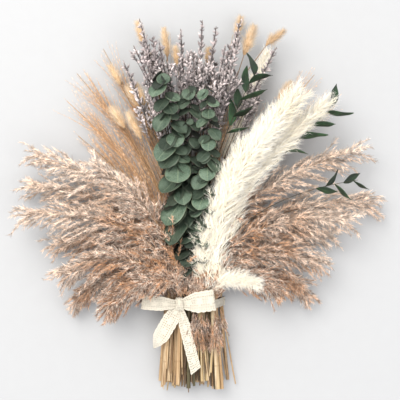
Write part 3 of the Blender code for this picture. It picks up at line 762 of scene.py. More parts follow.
@dataclass
class Bow:
    """Where the ribbon's band, knot and runs lie on the bunch."""

    bunch: Bunch

    def outline(self) -> list[Vector]:
        """Draws the band's inside round the stems.

        Returns:
            Points (x, z) round their hull, a gap outside it.
        """
        stems = [(plant.at_tie.xz, HABITS[plant.sort].stem_radius) for plant in self.bunch.plants]
        outline = []
        for k in range(OUTLINE_STEPS):
            angle = 2 * math.pi * k / OUTLINE_STEPS
            way = Vector((math.cos(angle), math.sin(angle)))
            middle, radius = max(stems, key=lambda stem: stem[0].dot(way) + stem[1])
            spot = middle + way * (radius + TIE_GAP)
            if way.y < FLAT_BELOW:
                spot.y = RIBBON_THICKNESS
            outline.append(spot)
        return outline

    def knot(self) -> Vector:
        """Seats the knot.

        Returns:
            Its middle, just above the band over the stems.
        """
        outline = self.outline()
        top = 0.0
        for start, end in zip(outline, outline[1:] + outline[:1]):
            if end.x <= KNOT.x < start.x:
                top = start.lerp(end, (start.x - KNOT.x) / (start.x - end.x)).y
        return Vector((KNOT.x, KNOT.y, top + RIBBON_THICKNESS + 0.6 * KNOT_SIZE.z))

    def rods(self) -> list[Rod]:
        """Covers the loops, tails and knot, so that plants keep clear of them.

        Returns:
            The rods.
        """
        knot = self.knot()
        rods = [(knot - Vector((0, 4 * MM, 0)), knot + Vector((0, 4 * MM, 0)), KNOT_SIZE.z, RIBBON)]
        for run in RUNS:
            matrix = run.matrix(knot)
            for start, end in zip(run.points(), run.points()[1:]):
                for offset in (-0.38, 0.0, 0.38):
                    shift = Vector((0, 0, run.width * offset))
                    rods.append((matrix @ (start + shift), matrix @ (end + shift), RUN_ROD, RIBBON))
        return rods

    def band_rods(self) -> Iterator[Rod]:
        """Covers the band round the stems, so that twigs keep clear of it.

        Yields:
            The rods, one by one.
        """
        outline = self.outline()
        for start, end in zip(outline, outline[1:] + outline[:1]):
            for y in (-0.9 * TIE_HALF_WIDTH, 0.0, 0.9 * TIE_HALF_WIDTH):
                yield Vector((start.x, y, start.y)), Vector((end.x, y, end.y)), BAND_ROD, RIBBON


# ---- node graphs


class NodeGraph:
    """A node tree being built: arithmetic comes from its signals' operators, other nodes from its method."""

    def __init__(self, tree: NodeTree) -> None:
        """Takes over a tree and empties it."""
        self.tree = tree
        tree.nodes.clear()

    @staticmethod
    def _socket(sockets: Iterable[NodeSocket], key: str | int) -> NodeSocket:
        """Finds a socket.

        Args:
            sockets: The sockets to look through.
            key: Its number, identifier or name.

        Returns:
            The socket.
        """
        if isinstance(key, int):
            return list(sockets)[key]
        exact = [socket for socket in sockets if socket.identifier == key]
        return (exact or [socket for socket in sockets if socket.name == key])[0]

    def node(
        self, kind: str, inputs: dict[str | int, object] | None = None, output: str | int = 0,
        **settings: object,
    ) -> "Signal":
        """Adds one node.

        Args:
            kind: The node's type.
            inputs: What feeds each input, by the socket's name, identifier or number.
            output: The output wanted, by name, identifier or number.
            **settings: The node's properties, which are set before its inputs.

        Returns:
            The wanted output, or the first input of a node that has none.
        """
        made = self.tree.nodes.new(kind)
        for name, value in settings.items():
            setattr(made, name, value)
        for key, value in (inputs or {}).items():
            socket = self._socket(made.inputs, key)
            if isinstance(value, Signal):
                self.tree.links.new(value.socket, socket)
                continue
            if socket.type in ("VECTOR", "RGBA") and isinstance(value, (int, float)):
                value = (value,) * 3
            socket.default_value = (*value, 1.0)[:4] if socket.type == "RGBA" else value
        return Signal(self, self._socket(made.outputs, output) if made.outputs else made.inputs[0])

    def mix(self, share: object, first: object, second: object, **settings: object) -> "Signal":
        """A colour between two, or another blend of them that the settings name."""
        terms = {"Factor_Float": share, "A_Color": first, "B_Color": second}
        return self.node("ShaderNodeMix", terms, "Result_Color", data_type="RGBA", **settings)


def operator(operation: str, swapped: bool = False) -> Callable[..., "Signal"]:
    """Makes the method of one of a signal's operators.

    Args:
        operation: What its node does.
        swapped: Whether the signal is the second term, as in an operator's reflected form.

    Returns:
        The method, which adds the node and returns its result.
    """
    def method(self: "Signal", other: object = 0.0) -> "Signal":
        """Adds the node."""
        return self._with(operation, other, self) if swapped else self._with(operation, self, other)

    return method


@dataclass(frozen=True, eq=False)
class Signal:
    """A socket that arithmetic works on: each operator adds the node that does it."""

    graph: NodeGraph
    socket: NodeSocket

    def other(self, name: str) -> "Signal":
        """Another output of the same node."""
        return Signal(self.graph, NodeGraph._socket(self.socket.node.outputs, name))

    def _with(self, operation: str, first: object, second: object = 0.0) -> "Signal":
        """Joins two terms: by Math for values, Mix for colours and Vector Math for vectors.

        Args:
            operation: What is done.
            first: The first term.
            second: The second one.

        Returns:
            The result.
        """
        types = {term.socket.type for term in (first, second) if isinstance(term, Signal)}
        if "RGBA" in types:
            return self.graph.mix(1.0, first, second, blend_type=operation)
        kind = "ShaderNodeVectorMath" if "VECTOR" in types else "ShaderNodeMath"
        return self.graph.node(kind, {0: first, 1: second}, operation=operation)

    __add__, __radd__ = operator("ADD"), operator("ADD", swapped=True)
    __sub__, __rsub__ = operator("SUBTRACT"), operator("SUBTRACT", swapped=True)
    __mul__, __rmul__ = operator("MULTIPLY"), operator("MULTIPLY", swapped=True)
    __truediv__, __pow__, __mod__ = operator("DIVIDE"), operator("POWER"), operator("FLOORED_MODULO")
    __gt__, __abs__ = operator("GREATER_THAN"), operator("ABSOLUTE")
    most, least, sine = operator("MAXIMUM"), operator("MINIMUM"), operator("SINE")

    def step(self, low: float, high: float) -> "Signal":
        """Rises smoothly from 0 at low to 1 at high."""
        given = {"Value": self, "From Min": low, "From Max": high}
        return self.graph.node("ShaderNodeMapRange", given, interpolation_type="SMOOTHSTEP")

    def axes(self) -> tuple["Signal", "Signal", "Signal"]:
        """The three parts of a vector."""
        x = self.graph.node("ShaderNodeSeparateXYZ", {0: self})
        return x, x.other("Y"), x.other("Z")


RELIEF = 0.4 * MM  # how high the relief that materials draw stands at most


class Paint(NodeGraph):
    """A material's graph, which ends in one Principled shader."""

    def __init__(self, name: str) -> None:
        """Starts a material.

        Args:
            name: Its name.
        """
        self.material = bpy.data.materials.new(name)
        self.material.use_nodes = True
        super().__init__(self.material.node_tree)

    def place(self) -> Signal:
        """Where a point is on the piece, in metres."""
        return self.node("ShaderNodeTexCoord", output="Object")

    def uv(self) -> tuple[Signal, Signal]:
        """The piece's own UV."""
        return self.node("ShaderNodeTexCoord", output="UV").axes()[:2]

    def attribute(self, name: str) -> Signal:
        """A value that the mesh carries."""
        return self.node("ShaderNodeAttribute", output="Fac", attribute_name=name)

    def noise(self, where: Signal, scale: float, detail: float = 2.0, stretch: Color | None = None) -> Signal:
        """Values round 0.5, in scale patches to the metre once where is multiplied by stretch."""
        where = where * stretch if stretch else where
        return self.node("ShaderNodeTexNoise", {"Vector": where, "Scale": scale, "Detail": detail})

    def bump(self, height: Signal, strength: float) -> Signal:
        """The normal of a surface raised by height, 0 to 1, of which strength shows."""
        return self.node("ShaderNodeBump", {"Height": height, "Strength": strength, "Distance": RELIEF})

    def finish(self, varying: dict[str, Signal], constants: dict[str, float]) -> Material:
        """Adds the shader and the output.

        Args:
            varying: Signals for the shader's inputs.
            constants: Plain values for its other inputs.

        Returns:
            The material.
        """
        shader = self.node("ShaderNodeBsdfPrincipled", {**varying, **constants})
        self.node("ShaderNodeOutputMaterial", {"Surface": shader})
        return self.material


def linear(*display: int) -> Color:
    """A colour from its three display values, 0 to 255."""
    shares = [value / 255 for value in display]
    return tuple(v / 12.92 if v <= 0.04045 else ((v + 0.055) / 1.055) ** 2.4 for v in shares)


# ---- finishes


@dataclass(frozen=True)
class Fluff:
    """Soft hairs or small florets: deep at the root, pale at the tip, uneven from hair to hair, and darker in
    random clumps that paint shade into the gaps of the fluff.
    """

    name: str
    root: Color
    tip: Color
    patch: Color
    patchy: float = 0.5
    # how much each hair's own tone varies, and how deep the painted shade of the darker clumps is
    varied: float = 0.35
    patches: float = 26.0
    sheen: float = 0.25
    fades: float = 0.0

    def make(self) -> Material:
        """Builds the material.

        Returns:
            The material.
        """
        paint = Paint(self.name)
        where = paint.place()
        along = paint.attribute("along")
        tint = paint.attribute("tint")
        patch = paint.noise(where, self.patches, 3.0)
        clump_shade = paint.noise(where, 110.0)
        fine = paint.noise(where, 420.0)
        color = paint.mix(along.step(-0.1, 0.85), self.root, self.tip)
        x, y, _ = where.axes()
        far = ((x * x + y * y) ** 0.5).step(0.1, 0.23)
        color = paint.mix(far * self.fades, color, self.tip)
        color = paint.mix(patch.step(0.42, 0.62) * self.patchy * (1.0 - far * self.fades), color, self.patch)
        shade = 1.0 - self.varied / 2 + tint * self.varied
        # each hair's own random tone, times darker clumps of painted shade for the gaps in the fluff
        color = color * shade * (1.0 - self.varied * 0.6 * (1.0 - clump_shade.step(0.36, 0.6))) * (0.9 + fine * 0.2)
        return paint.finish(
            {"Base Color": color, "Roughness": 0.78 + fine * 0.2},
            {"Sheen Weight": self.sheen, "Sheen Roughness": 0.6, "Specular IOR Level": 0.2},
        )


JOINT_PITCH = 0.062  # from one of a stalk's joints to the next, in metres


@dataclass(frozen=True)
class DryStem:
    """A dry stalk: streaked along its length, with darker rings at its joints and blotches of age."""

    name: str
    pale: Color
    deep: Color
    aged: Color
    joints: float = JOINT_PITCH

    def make(self) -> Material:
        """Builds the material.

        Returns:
            The material.
        """
        paint = Paint(self.name)
        where = paint.place()
        run = paint.attribute("run")
        streak = paint.noise(where, 1.0, 3.0, (900.0, 26.0, 900.0))
        blotch = paint.noise(where, 38.0, 3.0)
        tone = paint.noise(where, 1.0, 1.0, (190.0, 2.0, 190.0))
        grain = paint.noise(where, 1500.0)
        ring = 1.0 - abs((run % self.joints) - self.joints / 2).step(0.0004, 0.0016)
        color = paint.mix(streak.step(0.32, 0.7), self.deep, self.pale)
        color = paint.mix(tone.step(0.42, 0.6).most(blotch.step(0.5, 0.72)) * 0.8, color, self.aged)
        color = paint.mix(run.step(0.11, 0.16) * 0.75, color, self.deep)
        color = paint.mix(ring * 0.4, color, self.deep) * (0.6 + tone * 0.6) * (0.88 + grain * 0.24)
        normal = paint.bump(streak * 0.6 + ring * 0.5 + grain * 0.2, 0.5)
        return paint.finish(
            {"Base Color": color, "Roughness": 0.5 + streak * 0.3, "Normal": normal},
            {"Specular IOR Level": 0.35},
        )


@dataclass(frozen=True)
class LeafSkin:
    """A leaf: a midrib with side veins, a rim of its own colour, waxy bloom, and a tint from leaf to leaf
    that paints light and shade on it, down to near black.
    """

    name: str
    face: Color
    deep: Color
    vein: Color
    rim: Color
    bloom: Color
    veins: float = 9.0
    slant: float = 0.9
    waxy: float = 0.5

    def make(self) -> Material:
        """Builds the material.

        Returns:
            The material.
        """
        paint = Paint(self.name)
        where = paint.place()
        x, y = paint.uv()
        tint = paint.attribute("tint")
        off = abs(y - 0.5)
        blotch = paint.noise(where, 90.0, 3.0)
        grain = paint.noise(where, 900.0)
        midrib = 1.0 - off.step(0.008, 0.03)
        side = abs(((x - off * self.slant) * self.veins + blotch * 0.5) % 1.0 - 0.5)
        side_vein = (1.0 - side.step(0.02, 0.09)) * (1.0 - off.step(0.36, 0.47))
        veins = midrib.most(side_vein * 0.5)
        rim = off.step(0.455, 0.495).most(x.step(0.97, 1.0))
        color = paint.mix(blotch.step(0.36, 0.66), self.deep, self.face)
        color = paint.mix(grain.step(0.4, 0.7) * self.waxy, color, self.bloom)
        color = paint.mix(veins * 0.75, color, self.vein)
        # painted shade: the leaf's tint darkens it, to near black on the leaves set in shade
        color = paint.mix(rim * 0.5, color, self.rim) * (0.06 + tint * 0.98)
        normal = paint.bump(veins * 0.8 + blotch * 0.4, 0.6)
        return paint.finish(
            {"Base Color": color, "Roughness": 0.48 + blotch * 0.25, "Normal": normal},
            {"Specular IOR Level": 0.4},
        )


@dataclass(frozen=True)
class Lace:
    """Cream cotton lace: a fine net with small flowers along its middle, and solid scalloped edges."""

    name: str
    thread: Color
    shade: Color
    flower_pitch: float = 0.62
    net: float = 8.0
    scallops: float = 3.2
    eyelets: float = 0.13

    def make(self) -> Material:
        """Builds the material. UV runs in ribbon widths along, and from 0 to 1 across.

        Returns:
            The material.
        """
        paint = Paint(self.name)
        x, y = paint.uv()
        where = paint.node("ShaderNodeCombineXYZ", {0: x, 1: y})
        across = y - 0.5
        beside = (x / self.flower_pitch) % 1.0 - 0.5
        cx = beside * self.flower_pitch
        out = (cx * cx + across * across) ** 0.5
        turn = paint.node("ShaderNodeMath", {0: across, 1: cx}, operation="ARCTAN2")
        petals = 0.17 + 0.055 * (turn * 5.0).sine()
        flower = 1.0 - (out - petals).step(-0.01, 0.012)
        heart = out.step(0.02, 0.03)
        cells = paint.node(
            "ShaderNodeTexVoronoi", {"Vector": where, "Scale": self.net, "Randomness": 0.3},
            feature="DISTANCE_TO_EDGE", voronoi_dimensions="2D",
        )
        net = 1.0 - cells.step(0.27, 0.34)
        edge = 0.5 - abs(across)
        scallop = 0.04 * abs((x * math.pi * self.scallops).sine())
        inside = (edge - 0.04 + scallop).step(0.0, 0.006)
        border = 1.0 - (edge - 0.19).step(0.0, 0.012)
        eye_x = ((x / self.eyelets) % 1.0 - 0.5) * self.eyelets
        eye_y = edge - 0.125
        eyelet = (eye_x * eye_x + eye_y * eye_y) ** 0.5
        eyes = eyelet.step(0.022, 0.03)
        solid = flower.most(border)
        cover = (solid * eyes * heart).most(net * eyes)
        thread = paint.noise(where, 60.0, 2.0, (1.0, 3.2, 1.0))
        wave = (x * 160.0).sine() * (y * 160.0).sine()
        color = paint.mix(thread.step(0.3, 0.7), self.shade, self.thread) * (0.94 + solid * 0.06)
        normal = paint.bump(solid * 0.6 + wave * 0.12 + thread * 0.15, 0.5)
        rough = 0.75 + thread * 0.2
        return paint.finish(
            {"Base Color": color, "Roughness": rough, "Alpha": cover * inside, "Normal": normal},
            {"Sheen Weight": 0.15, "Specular IOR Level": 0.2},
        )


# ---- growing fine parts


@dataclass(frozen=True)
class Bristles:
    """What a plant's finest stalks bear, in metres and degrees, and how round its stalks are."""

    spacing: float
    length: float
    width: float
    lean: float
    lean_varies: float = 10.0
    bend: float = 0.0
    belly: float = 0.0
    length_varies: float = 0.3
    segments: int = 2
    sides: int = 3
    stem_sides: int = 10
    twig_sides: int = 3
    seed: int = 1


@dataclass(frozen=True)
class Coat:
    """The materials of one sort of plant: of its stems, and of its twigs and what they bear."""

    stem: Material
    fine: Material


def linked(name: str, data: bpy.types.ID) -> Object:
    """Puts a new object in the scene.

    Args:
        name: Its name.
        data: Its mesh, light or camera.

    Returns:
        The object.
    """
    made = bpy.data.objects.new(name, data)
    bpy.context.scene.collection.objects.link(made)
    return made


def as_plain_mesh(source: Object, name: str) -> Object:
    """Makes an object's modifiers part of its mesh.

    Args:
        source: The object, which is removed.
        name: The new object's name.

    Returns:
        The new object, with no modifiers.
    """
    bpy.context.view_layer.update()
    graph = bpy.context.evaluated_depsgraph_get()
    mesh = bpy.data.meshes.new_from_object(source.evaluated_get(graph))
    bpy.data.objects.remove(source)
    mesh.name = name
    return linked(name, mesh)


LOWEST, HIGHEST = 0.2 * MM, 126.5 * MM  # no fine part stands below or above these
BARE = 0.05  # where a line bears less than this, it has no bristles


class GrowthTree:
    """The node tree that turns a skeleton of lines into stalks, and sets a bristle at every step along them.

    A skeleton's points carry girth, its radius in metres; bearing, how long bristles are there, 0 for bare;
    and woody, 1 on a stem and 0 on a twig. The tree's inputs are named after the fields of Bristles and Coat.
    """

    def __init__(self) -> None:
        """Builds the tree."""
        self.tree = bpy.data.node_groups.new("fine_growth", "GeometryNodeTree")
        face = self.tree.interface
        face.new_socket("Geometry", in_out="OUTPUT", socket_type="NodeSocketGeometry")
        face.new_socket("Geometry", in_out="INPUT", socket_type="NodeSocketGeometry")
        self.keys = {}
        for part in (*fields(Bristles), *fields(Coat)):
            kind = {float: "Float", int: "Int"}.get(part.type, "Material")
            label = part.name.replace("_", " ").title()
            socket = face.new_socket(label, in_out="INPUT", socket_type=f"NodeSocket{kind}")
            self.keys[part.name] = socket.identifier
        self.graph = NodeGraph(self.tree)
        self.given = self.graph.node("NodeGroupInput")
        self._build()

    def _random(self, low: object, high: object, step: int) -> Signal:
        """A random value for each bristle, another for each step."""
        given = {"Min_001": low, "Max_001": high, "Seed": self.given.other("Seed") + float(step)}
        return self.graph.node("FunctionNodeRandomValue", given, 1, data_type="FLOAT")

    def _named(self, name: str) -> Signal:
        """A value that the skeleton carries."""
        return self.graph.node("GeometryNodeInputNamedAttribute", {"Name": name}, data_type="FLOAT")

    def _store(self, geometry: Signal, name: str, value: Signal, domain: str) -> Signal:
        """The geometry with one more value on it."""
        given = {"Geometry": geometry, "Name": name, "Value": value}
        return self.graph.node("GeometryNodeStoreNamedAttribute", given, data_type="FLOAT", domain=domain)

    def _tube(self, line: Signal, sides: Signal, radius: Signal, caps: bool) -> Signal:
        """Lays a tube along lines.

        Args:
            line: The lines.
            sides: How many sides it has.
            radius: Its radius at each point.
            caps: Whether its ends are closed.

        Returns:
            Its geometry.
        """
        circle = self.graph.node("GeometryNodeCurvePrimitiveCircle", {"Resolution": sides, "Radius": 1.0})
        given = {"Curve": line, "Profile Curve": circle, "Scale": radius, "Fill Caps": caps}
        return self.graph.node("GeometryNodeCurveToMesh", given)

    def _painted(self, geometry: Signal, material: str) -> Signal:
        """The geometry in one of the given materials."""
        given = {"Geometry": geometry, "Material": self.given.other(material)}
        return self.graph.node("GeometryNodeSetMaterial", given)

    def _bristle(self) -> Signal:
        """Draws one bristle along +Z, bent towards +Y, a tapering hair or a spindle.

        Returns:
            Its geometry.
        """
        graph, given = self.graph, self.given.other
        length = given("Length")
        end = graph.node("ShaderNodeCombineXYZ", {2: length})
        line = graph.node("GeometryNodeCurvePrimitiveLine", {"End": end})
        line = graph.node("GeometryNodeResampleCurve", {"Curve": line, "Count": given("Segments") + 1.0})
        share = graph.node("GeometryNodeSplineParameter")
        line = self._store(line, "along", share, "POINT")
        aside = graph.node("ShaderNodeCombineXYZ", {1: share * share * given("Bend") * length})
        line = graph.node("GeometryNodeSetPosition", {"Geometry": line, "Offset": aside})
        belly = given("Belly")
        spindle = ((share * 0.9 + 0.1) * math.pi).sine()
        width = given("Width") * ((1.0 - share) * (1.0 - belly) + spindle * belly)
        tube = self._tube(line, given("Sides"), width, False)
        return graph.node("GeometryNodeMergeByDistance", {"Geometry": tube, "Distance": 1e-5})

    def _build(self) -> None:
        """Joins the stalks and the bristles, nothing below the table."""
        graph, given = self.graph, self.given.other
        lines = graph.node("GeometryNodeMeshToCurve", {"Mesh": given("Geometry")})
        run = graph.node("GeometryNodeSplineParameter", output="Length")
        lines = self._store(lines, "run", run, "POINT")
        girth, bearing = self._named("girth"), self._named("bearing")
        woody = graph.node(
            "GeometryNodeSeparateGeometry", {"Geometry": lines, "Selection": self._named("woody") > 0.5},
            domain="POINT",
        )
        stems = self._tube(woody, given("Stem Sides"), girth, True)
        twigs = self._tube(woody.other("Inverted"), given("Twig Sides"), girth, True)
        steps = graph.node(
            "GeometryNodeResampleCurve", {"Curve": lines, "Length": given("Spacing")}, mode="LENGTH",
        )
        along = graph.node(
            "FunctionNodeAlignRotationToVector", {"Vector": graph.node("GeometryNodeInputTangent")}, axis="Z",
        )
        varies = given("Lean Varies")
        lean = self._random(given("Lean") - varies, given("Lean") + varies, 0) * (math.pi / 180)
        euler = graph.node("ShaderNodeCombineXYZ", {0: lean, 2: self._random(0.0, 2 * math.pi, 1)})
        turned = graph.node(
            "FunctionNodeRotateRotation",
            {"Rotation": along, "Rotate By": graph.node("FunctionNodeEulerToRotation", {"Euler": euler})},
            rotation_space="LOCAL",
        )
        spread = given("Length Varies")
        bristles = graph.node("GeometryNodeInstanceOnPoints", {
            "Points": steps, "Selection": bearing > BARE, "Instance": self._bristle(), "Rotation": turned,
            "Scale": bearing * self._random(1.0 - spread, 1.0 + spread, 2),
        })
        bristles = self._store(bristles, "tint", self._random(0.0, 1.0, 3), "INSTANCE")
        bristles = graph.node("GeometryNodeRealizeInstances", {"Geometry": bristles})
        joined = graph.node("GeometryNodeJoinGeometry")
        for part, skin in ((stems, "Stem"), (twigs, "Fine"), (bristles, "Fine")):
            self.tree.links.new(self._painted(part, skin).socket, joined.socket.node.inputs[0])
        x, y, z = graph.node("GeometryNodeInputPosition").axes()
        above = graph.node("ShaderNodeCombineXYZ", {0: x, 1: y, 2: z.most(LOWEST).least(HIGHEST)})
        kept = graph.node("GeometryNodeSetPosition", {"Geometry": joined, "Position": above})
        smooth = graph.node("GeometryNodeSetShadeSmooth", {"Geometry": kept})
        graph.node("NodeGroupOutput", {"Geometry": smooth})

    def grow(self, name: str, skeleton: "Skeleton", bristles: Bristles, coat: Coat) -> Object:
        """Grows a skeleton into a plain mesh object.

        Args:
            name: The object's name.
            skeleton: Its lines.
            bristles: What they bear.
            coat: Its materials.

        Returns:
            The object, which stands at the origin.
        """
        source = skeleton.to_object(name)
        growth = source.modifiers.new("growth", "NODES")
        growth.node_group = self.tree
        for key, value in {**vars(bristles), **vars(coat)}.items():
            growth[self.keys[key]] = value
        return as_plain_mesh(source, name)


class Skeleton:
    """Lines with a radius and a bearing at each point, gathered for the node tree to grow."""

    def __init__(self) -> None:
        """Starts with no lines."""
        self.points: list[Sequence[float]] = []
        self.edges: list[tuple[int, int]] = []
        self.values: dict[str, list[float]] = {"girth": [], "bearing": [], "woody": []}

    def add(
        self, line: Sequence[Sequence[float]], girth: object, bearing: object = 0.0, woody: bool = False,
    ) -> None:
        """Adds one line.

        Args:
            line: Its points.
            girth: Its radius, at each point or all along.
            bearing: How long its bristles are, at each point or all along.
            woody: Whether it is a stem.
        """
        first, count = len(self.points), len(line)
        self.points.extend(tuple(point) for point in line)
        self.edges.extend((first + k, first + k + 1) for k in range(count - 1))
        for name, value in (("girth", girth), ("bearing", bearing), ("woody", float(woody))):
            self.values[name].extend(np.broadcast_to(np.asarray(value, float), (count,)).tolist())

    def to_object(self, name: str) -> Object:
        """Makes the lines an object of bare edges that carries every value.

        Args:
            name: The plant's piece.

        Returns:
            The object.
        """
        mesh = bpy.data.meshes.new(name)
        mesh.from_pydata(self.points, self.edges, [])
        for key, values in self.values.items():
            mesh.attributes.new(key, "FLOAT", "POINT").data.foreach_set("value", values)
        return linked(f"{name}_lines", mesh)


class Path:
    """A stem's line made smooth, with places found by their distance along it."""

    def __init__(self, line: Sequence[Vector], steps: int = 6) -> None:
        """Runs a Catmull-Rom curve through the line's points.

        Args:
            line: The points.
            steps: How many steps there are from one to the next.
        """
        ends = [line[0] * 2 - line[1], *line, line[-1] * 2 - line[-2]]
        points = []
        for a, b, c, d in zip(ends, ends[1:], ends[2:], ends[3:]):
            square, cube = a * 2 - b * 5 + c * 4 - d, b * 3 - a - c * 3 + d
            for k in range(steps):
                t = k / steps
                points.append((b * 2 + (c - a) * t + square * t * t + cube * t**3) / 2)
        self.points = [*points, line[-1].copy()]
        self.lengths = distances(self.points)

    @property
    def length(self) -> float:
        """Its whole length."""
        return float(self.lengths[-1])

    def at(self, wanted: float) -> tuple[Vector, Vector]:
        """Finds a place along it.

        Args:
            wanted: Distance from its start.

        Returns:
            The point and the direction there.
        """
        index, part = find_along(self.lengths, wanted)
        start, end = self.points[index - 1], self.points[index]
        return start.lerp(end, part), (end - start).normalized()


TWIG_POINTS, STALK_POINTS, CUT_POINTS = 6, 8, 6
ABOVE_TIE = CUT_LENGTH + STRAIGHT_PAST_TIE + 8 * MM  # from the cut end to where stems may bear anything


@dataclass
class GrownPlant:
    """A plant's stems and fine parts, in one piece. Each sort says how its head grows."""

    plant: Plant
    bunch: Bunch
    tree: GrowthTree
    coat: Coat
    bristles: Bristles
    tip_girth: float = 0.4 * MM
    thinning: float = 1.0
    stoutness: float = 0.94
    cut_stalks: int = 0
    stalks: int = 0
    stalk_bearing: float = 0.0
    stalk_ends: tuple[float, float] = (0.5, 0.9)
    stalk_spread: float = 9 * MM
    stalk_girth: float = 0.45 * MM
    skeleton: Skeleton = field(default_factory=Skeleton)
    rng: random.Random = field(default_factory=random.Random)
    piece: Object | None = None

    def head(self, stem: Stem, path: Path) -> None:
        """Adds what the head of a stem with this path grows. A plain stem grows nothing."""

    def girth(self, stem: Stem, path: Path) -> list[float]:
        """Thins a stem: full up to the tie, thinner above it, hair-thin at the tip.

        Args:
            stem: The stem.
            path: Its smooth line.

        Returns:
            Its radius at each point of the path.
        """
        shares = np.clip((path.lengths - ABOVE_TIE) / (path.length - ABOVE_TIE), 0, 1)
        from_joint = (path.lengths + 20 * MM) % JOINT_PITCH - JOINT_PITCH / 2
        swell = 1.0 + 0.12 * np.exp(-((from_joint / (1.6 * MM)) ** 2))
        thin = stem.habit.stem_radius * (self.stoutness if stem is self.plant.stems[0] else 0.6)
        return list((self.tip_girth + (thin - self.tip_girth) * (1 - shares) ** self.thinning) * swell)

    def side_stalks(self, path: Path) -> None:
        """Adds thin bare stalks that leave the stem low down and run beside it.

        Args:
            path: The stem's smooth line.
        """
        draw = self.rng.uniform
        for index in range(self.stalks):
            start = ABOVE_TIE + draw(0.0, 0.3) * (path.length - ABOVE_TIE)
            end = start + (path.length - start) * draw(*self.stalk_ends)
            turn = index * GOLDEN_ANGLE + draw(-0.4, 0.4)
            away = self.stalk_spread * draw(0.4, 1.0)
            line = []
            for share in np.linspace(0, 1, STALK_POINTS):
                point, way = path.at(start + (end - start) * share)
                line.append(lifted(point + spoke(way, turn) * away * share**0.8, 1 * MM))
            girth = self.stalk_girth * draw(0.7, 1.2)
            bearing = [0.0] * (STALK_POINTS - 2) + [self.stalk_bearing, self.stalk_bearing * 0.8]
            self.skeleton.add(line, [girth * (1 - 0.07 * k) for k in range(STALK_POINTS)], bearing)

    def thin_cuts(self, path: Path) -> None:
        """Adds thin stalks that come through the tie beside the stem and splay out to their cut ends.

        Args:
            path: The stem's smooth line.
        """
        draw = self.rng.uniform
        beside = HABITS[self.plant.sort].stem_radius * self.stoutness
        for index in range(self.cut_stalks):
            turn = draw(0.15, 0.85) * math.pi
            away = Vector((math.cos(turn), 0, math.sin(turn)))
            start = draw(-5, 24) * MM
            splay = Vector((draw(-11, 11) * MM, 0, draw(1, 6) * MM))
            line = []
            for share in np.linspace(0, 1, CUT_POINTS):
                point, _ = path.at(max(start + (CUT_LENGTH + 2 * MM - start) * share, 0.0))
                point = point + away * beside * share + splay * (1 - share) ** 1.15
                point.y += min(start, 0.0) * (1 - share)
                line.append(lifted(point, 1.2 * MM))
            self.skeleton.add(line, draw(0.45, 1.15) * MM, woody=True)

    def build(self) -> None:
        """Grows the plant."""
        self.rng.seed(f"{SEED}-{self.plant.name}")
        self.stoutness *= self.rng.uniform(0.5, 1.0)
        self.thin_cuts(Path(self.plant.stems[0].line))
        for stem in self.plant.stems:
            path = Path(stem.line)
            self.skeleton.add(path.points, self.girth(stem, path), woody=True)
            self.head(stem, path)
            self.side_stalks(path)
        self.piece = self.tree.grow(f"{self.plant.name}_fine", self.skeleton, self.bristles, self.coat)

    def dress(self) -> None:
        """Hands the piece over for its CAD node."""
        hand_over(self.piece, self.plant.name)

    def clear_length(self, root: Vector, way: Vector, full: float) -> float:
        """Shortens a twig until it keeps clear of other plants.

        Args:
            root: Where it starts.
            way: The way that it points.
            full: Its full length.

        Returns:
            The length that fits, or two thirds of it.
        """
        for portion in LENGTHS_TRIED[:3]:
            length = full * portion
            if self.bunch.space.gap((root, root + way * length, 0.3 * MM, self.plant.owner)) > 0:
                return length
        return full * LENGTHS_TRIED[2]

    @staticmethod
    def arc(root: Vector, way: Vector, later: Vector, length: float) -> list[Vector]:
        """A twig that sets out one way and bends another.

        Args:
            root: Where it starts.
            way: The way that it sets out.
            later: The way of its second half.
            length: Its length.

        Returns:
            Its points, none below the table.
        """
        middle = root + way * length * 0.5
        end = middle + later.normalized() * length * 0.5
        line = []
        for k in range(TWIG_POINTS):
            t = k / (TWIG_POINTS - 1)
            line.append(lifted(root * (1 - t) ** 2 + middle * 2 * t * (1 - t) + end * t * t, 0.6 * MM))
        return line


def hand_over(piece: Object, node: str) -> None:
    """Ties a finished piece to its body, hides its CAD node, and reports it.

    Args:
        piece: The piece.
        node: The CAD node that it replaces.
    """
    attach(piece, "root")
    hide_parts(node)
    faces = sum(len(face.vertices) - 2 for face in piece.data.polygons)
    log.info("%s: %d triangles for %s", piece.name, faces, node)


def weave(shape: BMesh, rows: Sequence[Sequence[BMVert]], runs: Sequence[float]) -> None:
    """Joins rows of points into a smooth sheet with UV.

    Args:
        shape: Holds the points.
        rows: The points, row by row.
        runs: Each row's place along the UV, which goes from 0 to 1 across.
    """
    uv = shape.loops.layers.uv.verify()
    last = len(rows[0]) - 1
    for row, following, here, there in zip(rows, rows[1:], runs, runs[1:]):
        for k in range(last):
            face = shape.faces.new((row[k], row[k + 1], following[k + 1], following[k]))
            face.smooth = True
            corners = ((here, k), (here, k + 1), (there, k + 1), (there, k))
            for loop, (run, column) in zip(face.loops, corners):
                loop[uv].uv = (run, column / last)


def sheet_piece(name: str, shape: BMesh, skin: Material, thickness: float) -> Object:
    """Makes a sheet an object.

    Args:
        name: The object's name.
        shape: The sheet, which is freed.
        skin: Its finish.
        thickness: Its thickness, 0 for a single surface.

    Returns:
        The object, with no modifiers.
    """
    mesh = bpy.data.meshes.new(name)
    shape.to_mesh(mesh)
    shape.free()
    mesh.materials.append(skin)
    sheet = linked(name, mesh)
    if not thickness:
        return sheet
    wall = sheet.modifiers.new("thickness", "SOLIDIFY")
    wall.thickness = thickness
    wall.offset = 0.0
    return as_plain_mesh(sheet, name)


